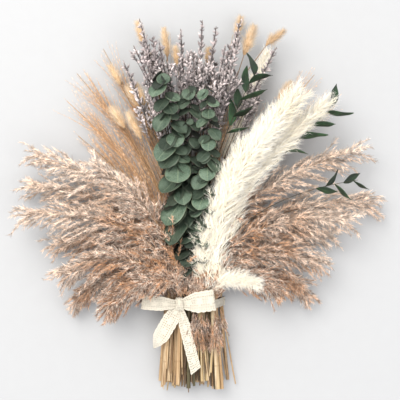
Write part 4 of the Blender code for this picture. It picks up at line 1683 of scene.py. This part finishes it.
@dataclass
class Plume(GrownPlant):
    """A feathery plume: many fine twigs that leave the stem all round, bend over and bear hairs."""

    twigs: int = 60
    droop: float = 0.8
    follow: float = 0.4
    twig_girth: float = 0.3 * MM
    low: float = 0.0
    thinning: float = 2.2
    wider: float = 1.2
    shortest: float = 0.5
    clumped: float = 0.0
    reach: float = 1.0
    basal: int = 0
    hanging: int = 0
    brush: int = 0
    brush_points: int = 16
    brush_out: float = 8 * MM
    foot_aside: float = 0.0

    def head(self, stem: Stem, path: Path) -> None:
        """Adds the plume's twigs, from its foot to its tip.

        Args:
            stem: The stem.
            path: Its smooth line.
        """
        draw = self.rng.uniform
        count = round(self.twigs * stem.place.head)
        foot = max(path.length - stem.head_length * (1 + self.low), ABOVE_TIE)
        for index in range(count):
            share = (index + draw(0.0, 0.9)) / count
            root, way = path.at(foot + (path.length - foot) * share * 0.985)
            turn = index * GOLDEN_ANGLE + draw(-0.5, 0.5)
            lean = math.radians(stem.habit.lean * (self.wider - 0.5 * share) * draw(0.6, 1.2))
            set_out = leaning(way, spoke(way, turn), lean)
            full = stem.habit.twig_length * stem.twig_share(share)
            full *= draw(self.shortest, 1.06)
            full *= self.reach * (stem.place.girth if stem.core else 1.0)
            length = self.clear_length(root, set_out, full)
            later = set_out + way * self.follow + DOWNHILL * self.droop * draw(0.3, 1.2)
            later.z -= 0.1
            line = self.arc(root, set_out, later, length)
            bearing = [
                even * (1 + self.clumped * draw(-1, 1)) for even in (0.6, 0.9, 1.0, 1.0, 0.9, 0.7)
            ]
            self.skeleton.add(line, [self.twig_girth * (1 - 0.13 * k) for k in range(TWIG_POINTS)], bearing)
        self._brush(stem, path, foot)
        for index in range(self.basal + self.hanging):
            self._fuzz(hangs=index >= self.basal)

    def _brush(self, stem: Stem, path: Path, foot: float) -> None:
        """Adds lines beside the plume's middle, whose long hairs make it one soft brush.

        Args:
            stem: The stem.
            path: Its smooth line.
            foot: Where the head starts along it.
        """
        size = stem.place.girth if stem.core else 1.0
        for index in range(self.brush):
            turn = index * GOLDEN_ANGLE
            line, bearing = [], []
            for k in range(self.brush_points):
                share = (k + self.rng.uniform(0.0, 0.5)) / self.brush_points
                point, way = path.at(foot + (path.length - foot) * share * 0.93)
                side, up = frame_of(way)
                width = max(stem.twig_share(share), 1.1 - share) * size
                near_foot = max(0.0, 0.6 - share)
                out = self.brush_out * width * (0.5 + index % 2 / 2)
                point = point + side * math.cos(turn) * out * (1 + 2.2 * near_foot)
                point += up * math.sin(turn) * out
                point.x += self.foot_aside * near_foot
                line.append(lifted(point, 1 * MM))
                bearing.append(2.1 * width * self.rng.uniform(0.85, 1.1))
            self.skeleton.add(line, self.twig_girth, bearing)

    def _fuzz(self, hangs: bool) -> None:
        """Adds one short twig that lies over the stems by the tie.

        Args:
            hangs: Whether it hangs below the tie, or stands above it.
        """
        draw = self.rng.uniform
        x, y = (draw(-2, 40), -draw(8, 44)) if hangs else (draw(-32, 34), draw(4, 32))
        root = Vector((x, y, 0)) * MM
        root.z = self.bunch.top(root.x, root.y) + 1.5 * MM
        way = Vector((root.x * 8 + draw(-0.5, 0.5), -1 if hangs else 1, draw(0.1, 0.5))).normalized()
        later = way + DOWNHILL * 0.4 + Vector((draw(-0.6, 0.6), 0, -0.2))
        line = self.arc(root, way, later, draw(14, 25) * MM)
        self.skeleton.add(line, self.twig_girth, [0.3, 0.6, 0.8, 0.85, 0.75, 0.5])


@dataclass
class Spray(GrownPlant):
    """A spray of straight fine strands with small seeds."""

    strands: int = 84
    thinning: float = 1.8
    low: float = 0.25

    def head(self, stem: Stem, path: Path) -> None:
        """Adds the strands, which leave the stem over more than half of its head.

        Args:
            stem: The stem.
            path: Its smooth line.
        """
        draw = self.rng.uniform
        for index in range(self.strands):
            share = (index + draw(0.0, 0.9)) / self.strands * 0.66
            root, way = path.at(path.length - stem.head_length * (1 - share) * (1 + self.low * (1 - share)))
            across = spoke(way, index * GOLDEN_ANGLE + draw(-0.5, 0.5))
            set_out = leaning(way, across, math.radians(stem.habit.lean * draw(0.3, 1.25)))
            full = stem.habit.twig_length * (1 - 0.45 * share) * draw(0.7, 1.1)
            length = self.clear_length(root, set_out, full)
            line = self.arc(root, set_out, set_out + across * draw(-0.12, 0.18), length)
            girth = [radius * MM for radius in (0.32, 0.3, 0.27, 0.23, 0.18, 0.12)]
            self.skeleton.add(line, girth, [0, 0.2, 0.8, 1.0, 1.0, 0.8])


@dataclass
class Tuft(GrownPlant):
    """A dense head round the end of its stem, an oval or a spike, with hairs or florets rooted inside it."""

    fullness: float = 0.9
    whorls: float = 0.0
    rows: int = 6
    taper: float = 0.5
    longer: float = 1.0
    reach: float = 0.9
    points: int = 30

    def head(self, stem: Stem, path: Path) -> None:
        """Adds the head's middle line, which swells to its core.

        Args:
            stem: The stem.
            path: Its smooth line.
        """
        core = stem.core * self.fullness
        line, girth, bearing = [], [], []
        for k in range(self.points):
            share = k / (self.points - 1)
            left = self.longer - share * (self.longer - 1 + self.reach)
            line.append(path.at(path.length - stem.head_length * left)[0])
            girth.append(max(core * math.sin(math.pi * (0.05 + 0.9 * share)) ** 0.6, 0.3 * MM))
            whorl = 1.0 + self.whorls * math.sin(share * 2 * math.pi * self.rows)
            bearing.append((1.0 - self.taper * share**2) * whorl * (0.75 + 0.25 * math.sin(math.pi * share)))
        self.skeleton.add(line, girth, [value * stem.place.girth for value in bearing])


# ---- leaves


class LeafShape(Enum):
    """Outlines of leaves: half the width at each share of the length, the widest being 1."""

    ROUND = ((0.0, 0.05), (0.05, 0.3), (0.14, 0.62), (0.3, 0.9), (0.5, 1.0), (0.68, 0.95), (0.84, 0.74),
             (0.94, 0.45), (1.0, 0.06))
    POINTED = ((0.0, 0.08), (0.08, 0.35), (0.22, 0.78), (0.38, 1.0), (0.55, 0.93), (0.75, 0.6), (0.9, 0.26),
               (1.0, 0.02))

    def half_width(self, share: float) -> float:
        """Half the width at a share of the length."""
        shares, widths = zip(*self.value)
        return float(np.interp(share, shares, widths))


@dataclass
class Leaves:
    """All the leaves of one plant, in one piece of thin curved sheets.

    Lit, filler_lit and shaded are the tints of its main leaves, of those between them and of those that hang:
    painted light and shade, lighter on the main leaves and darkest on those that hang.
    """

    plant: Plant
    shape: LeafShape
    skin: Material
    thickness: float = 0.35 * MM
    cupped: float = 0.16
    arched: float = 0.08
    fillers: int = 0
    broader: float = 1.0
    longer: float = 1.0
    steep: float = 0.0
    left_longer: float = 1.0
    # ranges of tint: painted light on the main leaves, painted shade on the fillers, darkest on the hanging
    # ones
    lit: tuple[float, float] = (0.4, 1.0)
    filler_lit: tuple[float, float] = (0.08, 0.55)
    shaded: tuple[float, float] = (0.0, 0.12)
    rows: int = 13
    columns: int = 9
    axis: Vector = field(default_factory=lambda: UP.copy())
    rng: random.Random = field(default_factory=random.Random)
    piece: Object | None = None

    def _grid(self, leaf: Leaf, proportion: float) -> list[Vector]:
        """Bends one leaf.

        Args:
            leaf: The leaf.
            proportion: Its width as a share of its length.

        Returns:
            Its points, row by row from its root.
        """
        draw = self.rng.uniform
        normal = leaf.normal
        if self.steep:
            axis = self.axis - leaf.way * self.axis.dot(leaf.way)
            normal = normal.lerp(axis.normalized(), self.steep * draw(0.6, 1.3)).normalized()
        across = leaf.way.cross(normal).normalized()
        cup = self.cupped * draw(0.3, 1.4)
        arch = self.arched * draw(-1.2, 1.5)
        phase = draw(0, 6.3)
        size = leaf.length * (self.left_longer if leaf.way.x < 0 else 1.0)
        points = []
        for row in range(self.rows):
            u = row / (self.rows - 1)
            half = self.shape.half_width(u) * size * proportion * self.broader / 2
            for column in range(self.columns):
                v = 2 * column / (self.columns - 1) - 1
                rise = cup * v * v * half + arch * math.sin(math.pi * u) * size
                rise += 0.018 * size * abs(v) ** 3 * math.sin(9 * u + phase + (2 if v > 0 else 0))
                middle = leaf.root + leaf.way * size * (u * 1.03 - 0.03) * self.longer
                points.append(middle + across * half * v + normal * rise)
        return points

    def _more(self, stem: Stem) -> Iterator[Leaf]:
        """Fills the steps between a stem's main leaves with smaller ones.

        Args:
            stem: The stem.

        Yields:
            The leaves, one by one.
        """
        draw = self.rng.uniform
        path = Path(stem.line)
        count = round(self.fillers * stem.place.head)
        for index in range(count):
            share = (index + 0.5) / count
            place = path.length - stem.head_length * (1.12 - 1.12 * share)
            if place < ABOVE_TIE + 20 * MM:
                continue
            root, way = path.at(place)
            turn = math.radians((200, -20, 148, 32)[index % 4] + draw(-18, 14))
            reflex = math.radians(draw(28, 50))
            leaf_way, normal = leaf_stance(way, turn, reflex, draw(0.25, 0.8))
            size = stem.habit.leaf_size * (0.98 - 0.5 * share) * stem.place.girth * draw(0.8, 1.0)
            if root.z + leaf_way.z * size > 2 * MM:
                yield Leaf(root, leaf_way, normal, size)

    def build(self) -> None:
        """Makes every leaf, with UV and its own tint, which paints light and shade on it."""
        self.rng.seed(f"{SEED}-{self.plant.name}-leaves")
        shape = bmesh.new()
        shape.loops.layers.uv.verify()
        tint = shape.verts.layers.float.new("tint")
        for stem in self.plant.stems:
            self.axis = (stem.line[-1] - stem.line[len(stem.line) // 2]).normalized()
            leaves = [*stem.leaves, *self._more(stem)]
            for number, leaf in enumerate(leaves):
                # painted shade: fillers that point down take the darkest tints
                filler_lit = self.filler_lit if leaf.way.z > 0 else self.shaded
                value = self.rng.uniform(*(self.lit if number < len(stem.leaves) else filler_lit))
                verts = [shape.verts.new(point) for point in self._grid(leaf, stem.habit.leaf_proportion)]
                for vert in verts:
                    vert[tint] = value
                rows = [verts[first:first + self.columns] for first in range(0, len(verts), self.columns)]
                weave(shape, rows, [row / (self.rows - 1) for row in range(self.rows)])
        self.piece = sheet_piece(f"{self.plant.name}_leaves", shape, self.skin, self.thickness)

    def dress(self) -> None:
        """Hands the piece over for its CAD node."""
        hand_over(self.piece, self.plant.name)


# ---- the ribbon


@dataclass(frozen=True)
class Folds:
    """Soft lengthwise folds of one strip.

    Gathered is how strongly the ribbon is gathered at each point of its path, 0 to 1; phase sets one strip
    apart from another; and deep is the height of the deepest folds, in metres.
    """

    gathered: list[float]
    phase: float
    deep: float

    def lift(self, k: int, v: float) -> float:
        """Pleats the ribbon where it is gathered, with one slow wave where it is open and a wavy rim.

        Args:
            k: Number of the point on the path.
            v: The place across, from -1 at one edge to 1 at the other.

        Returns:
            How far it stands off the path there.
        """
        share = k / (len(self.gathered) - 1)
        pleat = math.cos(3.2 * math.pi * v + self.phase + 0.8 * math.sin(5 * share + self.phase))
        wave = math.sin(2 * math.pi * (1.6 * share + 0.18 * v) + self.phase * 1.7)
        rim = 0.2 * MM * math.sin(40 * share + 5 * v + self.phase) * (v * v)
        return self.deep * (self.gathered[k] * pleat + 0.28 * wave * (1 - self.gathered[k])) + rim


@dataclass
class LaceRibbon:
    """The lace ribbon in one piece: band, loops, tails and knot, each a finely folded strip."""

    bow: Bow
    cloth: Material
    thickness: float = 0.3 * MM
    step: float = 1.1 * MM
    columns: int = 21
    flat_width: float = LOOP_WIDTH
    knot_half_width: float = 5.4 * MM
    knot_steps: int = 34
    band_drawn_in: float = 0.72
    clear_of_table: float = 0.35 * MM
    flat_area: float = 0.0
    shape: BMesh = field(default_factory=bmesh.new)
    piece: Object | None = None

    @property
    def places(self) -> list[float]:
        """Where the points across a strip stand, from -1 at one edge to 1 at the other."""
        return [2 * column / (self.columns - 1) - 1 for column in range(self.columns)]

    def _strip(
        self, path: Sequence[Vector], across: Vector, half_width: Sequence[float],
        lift: Callable[[int, float], float], slant: float = 0.0, closed: bool = False, start: float = 0.0,
    ) -> None:
        """Weaves one strip.

        Args:
            path: Its middle line.
            across: The way across it.
            half_width: Half its width at each point of the path.
            lift: How far a point stands off the path, from the path point's number and the place across.
            slant: How much farther the last points reach at one edge, in metres.
            closed: Whether the path joins up.
            start: Where its pattern starts, in ribbon widths.
        """
        count = len(path)
        rows, runs, run = [], [], start
        for k, point in enumerate(path):
            before = path[k - 1] if k or closed else path[0]
            after = path[(k + 1) % count] if k + 1 < count or closed else path[-1]
            way = (after - before).normalized()
            normal = across.cross(way).normalized()
            late = max(0.0, (k / (count - 1) - 0.75) * 4) if slant else 0.0
            spots = [
                point + across * half_width[k] * v + normal * lift(k, v) + way * slant * v * late
                for v in self.places
            ]
            rows.append([self.shape.verts.new(lifted(spot, self.clear_of_table)) for spot in spots])
            runs.append(run)
            run += (path[(k + 1) % count] - point).length / self.flat_width
        if closed:
            rows.append(rows[0])
            runs.append(run)
        weave(self.shape, rows, runs)

    def _even(self, line: Sequence[Vector], closed: bool = False) -> list[Vector]:
        """Smooths a line.

        Args:
            line: Its points.
            closed: Whether it joins up.

        Returns:
            Points at even steps along it.
        """
        path = Path([*line, line[0]] if closed else line, 8)
        count = max(4, round(path.length / self.step))
        return [path.at(path.length * k / count)[0] for k in range(count + (not closed))]

    def _band(self) -> None:
        """Weaves the band round the stems."""
        outline = [Vector((spot.x, 0, spot.y)) for spot in self.bow.outline()]
        path = self._even(list(reversed(outline)), closed=True)
        folds = Folds([0.8] * len(path), 0.7, 0.8 * MM)

        def lift(k: int, v: float) -> float:
            """Folds that all stand outside the stems, and end as they start."""
            return abs(folds.lift(k % (len(path) - 1), v)) * 0.8 + 0.25 * MM

        half = TIE_HALF_WIDTH * self.band_drawn_in
        self._strip(path, Vector((0, 1, 0)), [half] * len(path), lift, closed=True)

    def _run(self, run: Run, number: int) -> None:
        """Weaves one loop or tail.

        Args:
            run: The loop or tail.
            number: Its number, which sets its folds and pattern apart.
        """
        matrix = run.matrix(self.bow.knot())
        path = self._even([matrix @ point for point in run.points()])
        across = (matrix.to_3x3() @ UP).normalized()
        shares = [k / (len(path) - 1) for k in range(len(path))]
        ends = [min(s, 1 - s) / 0.24 if run.kind is RunKind.LOOP else s / 0.3 for s in shares]
        open_up = [min(1.0, e) ** 0.8 for e in ends]
        fuller = 0.84 if run.kind is RunKind.LOOP and run.heading < 90 else 0.62
        half = [run.width / 2 * (0.32 + fuller * o) for o in open_up]
        if run.pointed:
            half = [h * max(0.05, min(1.0, (1 - s) / 0.3)) ** 0.8 for h, s in zip(half, shares)]
        folds = Folds([1 - 0.88 * o for o in open_up], 1.3 * number, 1.5 * MM)
        slant = 0.0 if run.pointed or run.kind is RunKind.LOOP else 3.5 * MM
        self._strip(path, across, half, folds.lift, slant, start=0.37 * number)

    def _knot(self) -> None:
        """Weaves the knot: a narrow turn of ribbon over the loops' roots, pinched into folds."""
        centre, turns, square = self.bow.knot(), self.knot_steps, 2.6
        path = []
        for k in range(turns):
            angle = -2 * math.pi * k / turns
            y, z = math.cos(angle), math.sin(angle)
            round_off = (abs(y) ** square + abs(z) ** square) ** (-1 / square)
            path.append(centre + Vector((
                0, y * round_off * (KNOT_SIZE.y - 0.9 * MM), z * round_off * (KNOT_SIZE.z - 0.4 * MM),
            )))
        waver = [1 + 0.1 * math.sin(2 * math.pi * k / turns * 2 + 1) for k in range(turns)]
        half = [self.knot_half_width * wider for wider in waver]

        def lift(k: int, v: float) -> float:
            """A rounded back with a few pinched folds."""
            pinch = 0.45 * MM * math.cos(3.6 * math.pi * v + 0.9 * math.sin(4 * math.pi * k / turns))
            return 1.5 * MM * (1 - v * v) - 0.9 * MM * v**4 + pinch

        self._strip(path, Vector((1, 0, 0)), half, lift, closed=True, start=0.2)

    def build(self) -> None:
        """Weaves every strip, and gives the lace its thickness."""
        self._band()
        for number, run in enumerate(RUNS, 1):
            self._run(run, number)
        self._knot()
        self.flat_area = sum(face.calc_area() for face in self.shape.faces)
        self.piece = sheet_piece("lace_ribbon_woven", self.shape, self.cloth, self.thickness)

    def dress(self) -> None:
        """Hands the ribbon over for its CAD node."""
        hand_over(self.piece, "lace_ribbon")
        rests = [f"{plant.name}_fine" for plant in self.bow.bunch.plants[:3]]


# ---- the studio


@dataclass(frozen=True)
class Lamp:
    """A soft square lamp: where it hangs, its side and its power in watts."""

    name: str
    place: Spot
    size: float
    power: float
    color: Color = (1.0, 1.0, 1.0)

    def build(self, aim: Vector) -> None:
        """Hangs the lamp.

        Args:
            aim: Where it points.
        """
        data = bpy.data.lights.new(self.name, "AREA")
        data.shape = "SQUARE"
        data.size = self.size
        data.energy = self.power
        data.color = self.color
        lamp = linked(self.name, data)
        lamp.location = self.place
        lamp.rotation_euler = (aim - Vector(self.place)).to_track_quat("-Z", "Y").to_euler()


@dataclass
class Studio:
    """A pale table under soft light, and the camera that looks straight down on the bunch."""

    aim: Vector = field(default_factory=lambda: Vector((0.013, 0.1365, 0.05)))
    seen_width: float = 0.52
    lens: float = 85.0
    sensor: float = 36.0
    sky: float = 1.35
    table_reach: float = 20.0
    lamps: tuple[Lamp, ...] = (
        Lamp("key", (-0.6, 0.9, 1.9), 1.4, 54.0, (1.0, 0.985, 0.955)),
        Lamp("fill", (0.9, -0.4, 1.8), 1.6, 15.0, (0.98, 0.985, 1.0)),
    )

    def build(self) -> None:
        """Sets up the table, the sky, the lamps and the camera."""
        self._table()
        self._sky()
        for lamp in self.lamps:
            lamp.build(self.aim)
        data = bpy.data.cameras.new("from_above")
        data.lens = self.lens
        data.sensor_width = self.sensor
        camera = linked("from_above", data)
        camera.location = self.aim + UP * self.seen_width * self.lens / self.sensor
        bpy.context.scene.camera = camera
        bpy.context.scene.view_settings.view_transform = "Standard"

    def _table(self) -> None:
        """A plain pale table top."""
        shape = bmesh.new()
        bmesh.ops.create_grid(shape, x_segments=1, y_segments=1, size=self.table_reach)
        paint = Paint("pale_table")
        grain = paint.noise(paint.place(), 60.0, 3.0)
        color = paint.mix(grain, (0.358, 0.357, 0.358), (0.373, 0.373, 0.374))
        top = paint.finish({"Base Color": color, "Roughness": 0.85 + grain * 0.1}, {})
        sheet_piece("table", shape, top, 0.0)

    def _sky(self) -> None:
        """An even pale sky."""
        world = bpy.data.worlds.new("pale_sky")
        world.use_nodes = True
        graph = NodeGraph(world.node_tree)
        light = graph.node("ShaderNodeBackground", {"Color": (0.97, 0.98, 1.0), "Strength": self.sky})
        graph.node("ShaderNodeOutputWorld", {"Surface": light})
        bpy.context.scene.world = world


# ---- the sorts


class Wardrobe:
    """Every material of the bunch."""

    def __init__(self) -> None:
        """Makes them all."""
        stalk = DryStem("dry_stalk", linear(206, 182, 146), linear(132, 100, 68), linear(160, 128, 90))
        pale = DryStem("pale_stalk", linear(214, 196, 164), linear(148, 118, 82), linear(166, 142, 100))
        # the green stalk's deep colour is partly its own and partly painted shade, so that the stems behind
        # the leaves read dark
        green = DryStem("green_stalk", linear(96, 88, 58), linear(48, 42, 28), linear(72, 54, 38), 0.045)
        grey = DryStem("grey_stalk", linear(140, 118, 94), linear(76, 60, 46), linear(106, 84, 66))
        reed = Fluff("reed_hair", linear(140, 88, 44), linear(252, 230, 210), linear(196, 136, 80), 0.65, 0.9,
                     fades=0.68)
        pampas = Fluff("pampas_hair", linear(247, 236, 211), linear(251, 246, 236), linear(245, 233, 208),
                       0.4, 0.08, sheen=0.3)
        straw = Fluff("straw_seed", linear(222, 172, 124), linear(250, 216, 174), linear(222, 174, 128), 0.4)
        bunny = Fluff("bunny_hair", linear(190, 154, 114), linear(236, 210, 176), linear(206, 170, 128), 0.4)
        bloom = Fluff("lavender_bud", linear(72, 62, 58), linear(206, 192, 188), linear(128, 114, 114),
                      0.5, 1.0)
        made = {part: part.make() for part in (stalk, pale, green, grey, reed, pampas, straw, bunny, bloom)}
        worn = {
            Sort.REED: (stalk, reed), Sort.PAMPAS: (pale, pampas), Sort.STRAW: (pale, straw),
            Sort.BUNNY: (stalk, bunny), Sort.LAVENDER: (grey, bloom), Sort.EUCALYPTUS: (green, green),
            Sort.RUSCUS: (green, green),
        }
        self.coats = {sort: Coat(made[stem], made[fine]) for sort, (stem, fine) in worn.items()}
        self.leaves = {
            Sort.EUCALYPTUS: LeafSkin(
                "eucalyptus_leaf", linear(88, 105, 85), linear(52, 72, 53), linear(118, 132, 106),
                linear(112, 114, 86), linear(120, 136, 122),
            ).make(),
            Sort.RUSCUS: LeafSkin(
                "ruscus_leaf", linear(46, 76, 46), linear(20, 40, 24), linear(74, 96, 62), linear(58, 70, 42),
                linear(52, 76, 54), 12.0, 1.6, 0.25,
            ).make(),
        }
        self.lace = Lace("cotton_lace", linear(200, 194, 181), linear(178, 169, 151)).make()


BARE_STALK = Bristles(50 * MM, 1 * MM, 0.1 * MM, 30)

# How each sort grows: its class, its bristles, and what sets it apart from the class's own values
GROWTH: dict[Sort, tuple[type[GrownPlant], Bristles, dict[str, object]]] = {
    Sort.REED: (
        Plume, Bristles(0.72 * MM, 7.4 * MM, 0.58 * MM, 34, 20, segments=1),
        dict(twigs=112, low=0.3, wider=1.6, clumped=0.35, droop=0.85, basal=11, hanging=6,
             cut_stalks=2),
    ),
    Sort.PAMPAS: (
        Plume, Bristles(0.9 * MM, 13.0 * MM, 0.3 * MM, 32, 18, segments=1),
        dict(twigs=380, droop=0.06, follow=0.5, twig_girth=0.2 * MM, low=0.15, wider=1.5,
             shortest=0.7, brush=16, cut_stalks=2),
    ),
    Sort.STRAW: (
        Spray, Bristles(8.0 * MM, 4.2 * MM, 0.36 * MM, 16, 9, belly=1.0, stem_sides=8),
        dict(strands=132, cut_stalks=3),
    ),
    Sort.BUNNY: (
        Tuft, Bristles(0.034 * MM, 13.0 * MM, 0.24 * MM, 33, 15, segments=1, stem_sides=8, twig_sides=12),
        dict(fullness=0.64, taper=0.3, stalks=3, cut_stalks=3),
    ),
    Sort.LAVENDER: (
        Tuft, Bristles(0.9 * MM, 8.0 * MM, 1.5 * MM, 46, 22, belly=1.0, sides=4, stem_sides=8, twig_sides=4),
        dict(fullness=0.5, whorls=0.5, rows=8, longer=1.35, reach=0.96, taper=0.3, stalks=4,
             stalk_bearing=1.0, stalk_ends=(0.7, 0.9), stalk_spread=14 * MM, cut_stalks=2),
    ),
    Sort.EUCALYPTUS: (GrownPlant, BARE_STALK, dict(thinning=2.0, tip_girth=0.3 * MM)),
    Sort.RUSCUS: (GrownPlant, BARE_STALK, dict(thinning=2.0, tip_girth=0.3 * MM)),
}
LEAVES: dict[Sort, tuple[LeafShape, dict[str, float]]] = {
    Sort.EUCALYPTUS: (LeafShape.ROUND, dict(fillers=44, longer=1.12, broader=1.15, steep=0.5)),
    Sort.RUSCUS: (LeafShape.POINTED, dict(broader=1.7, longer=1.2)),
}
LARGE_PLUME = 0.7  # pampas plumes stouter than this have long twigs and a foot that stands aside
UPRIGHT_REED = 40  # reeds whose tips lie farther up than this, in millimetres, have longer twigs


def grown(plant: Plant, bunch: Bunch, tree: GrowthTree, coat: Coat) -> GrownPlant:
    """Chooses how a plant grows.

    Args:
        plant: The plant.
        bunch: Its bunch.
        tree: The node tree that grows it.
        coat: Its materials.

    Returns:
        What builds it.
    """
    kind, bristles, own = GROWTH[plant.sort]
    if plant.sort is Sort.REED:
        own = {**own, "reach": 1.25 if plant.place.tip[1] > UPRIGHT_REED else 1.0}
    if plant.sort is Sort.PAMPAS:
        large = plant.place.girth > LARGE_PLUME
        own = {**own, "reach": 0.85 if large else 0.7, "foot_aside": 24 * MM if large else 0.0}
    return kind(plant, bunch, tree, coat, replace(bristles, seed=plant.owner + 1), **own)


def leaved(plant: Plant, skin: Material) -> Leaves:
    """What builds a plant's leaves."""
    shape, own = LEAVES[plant.sort]
    return Leaves(plant, shape, skin, left_longer=1.3 if plant.name == "eucalyptus_1" else 1.0, **own)


def main() -> None:
    """Builds and dresses every piece of the bunch, and sets up the studio."""
    logging.basicConfig(level=logging.INFO, format="%(message)s")
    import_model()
    bunch = Bunch()
    bunch.lay_out()
    wardrobe = Wardrobe()
    tree = GrowthTree()
    for plant in bunch.plants:
        pieces = [grown(plant, bunch, tree, wardrobe.coats[plant.sort])]
        if plant.sort in LEAVES:
            pieces.append(leaved(plant, wardrobe.leaves[plant.sort]))
        for piece in pieces:
            piece.build()
            piece.dress()
    ribbon = LaceRibbon(Bow(bunch), wardrobe.lace)
    ribbon.build()
    ribbon.dress()
    Studio().build()


if __name__ == "__main__":
    main()
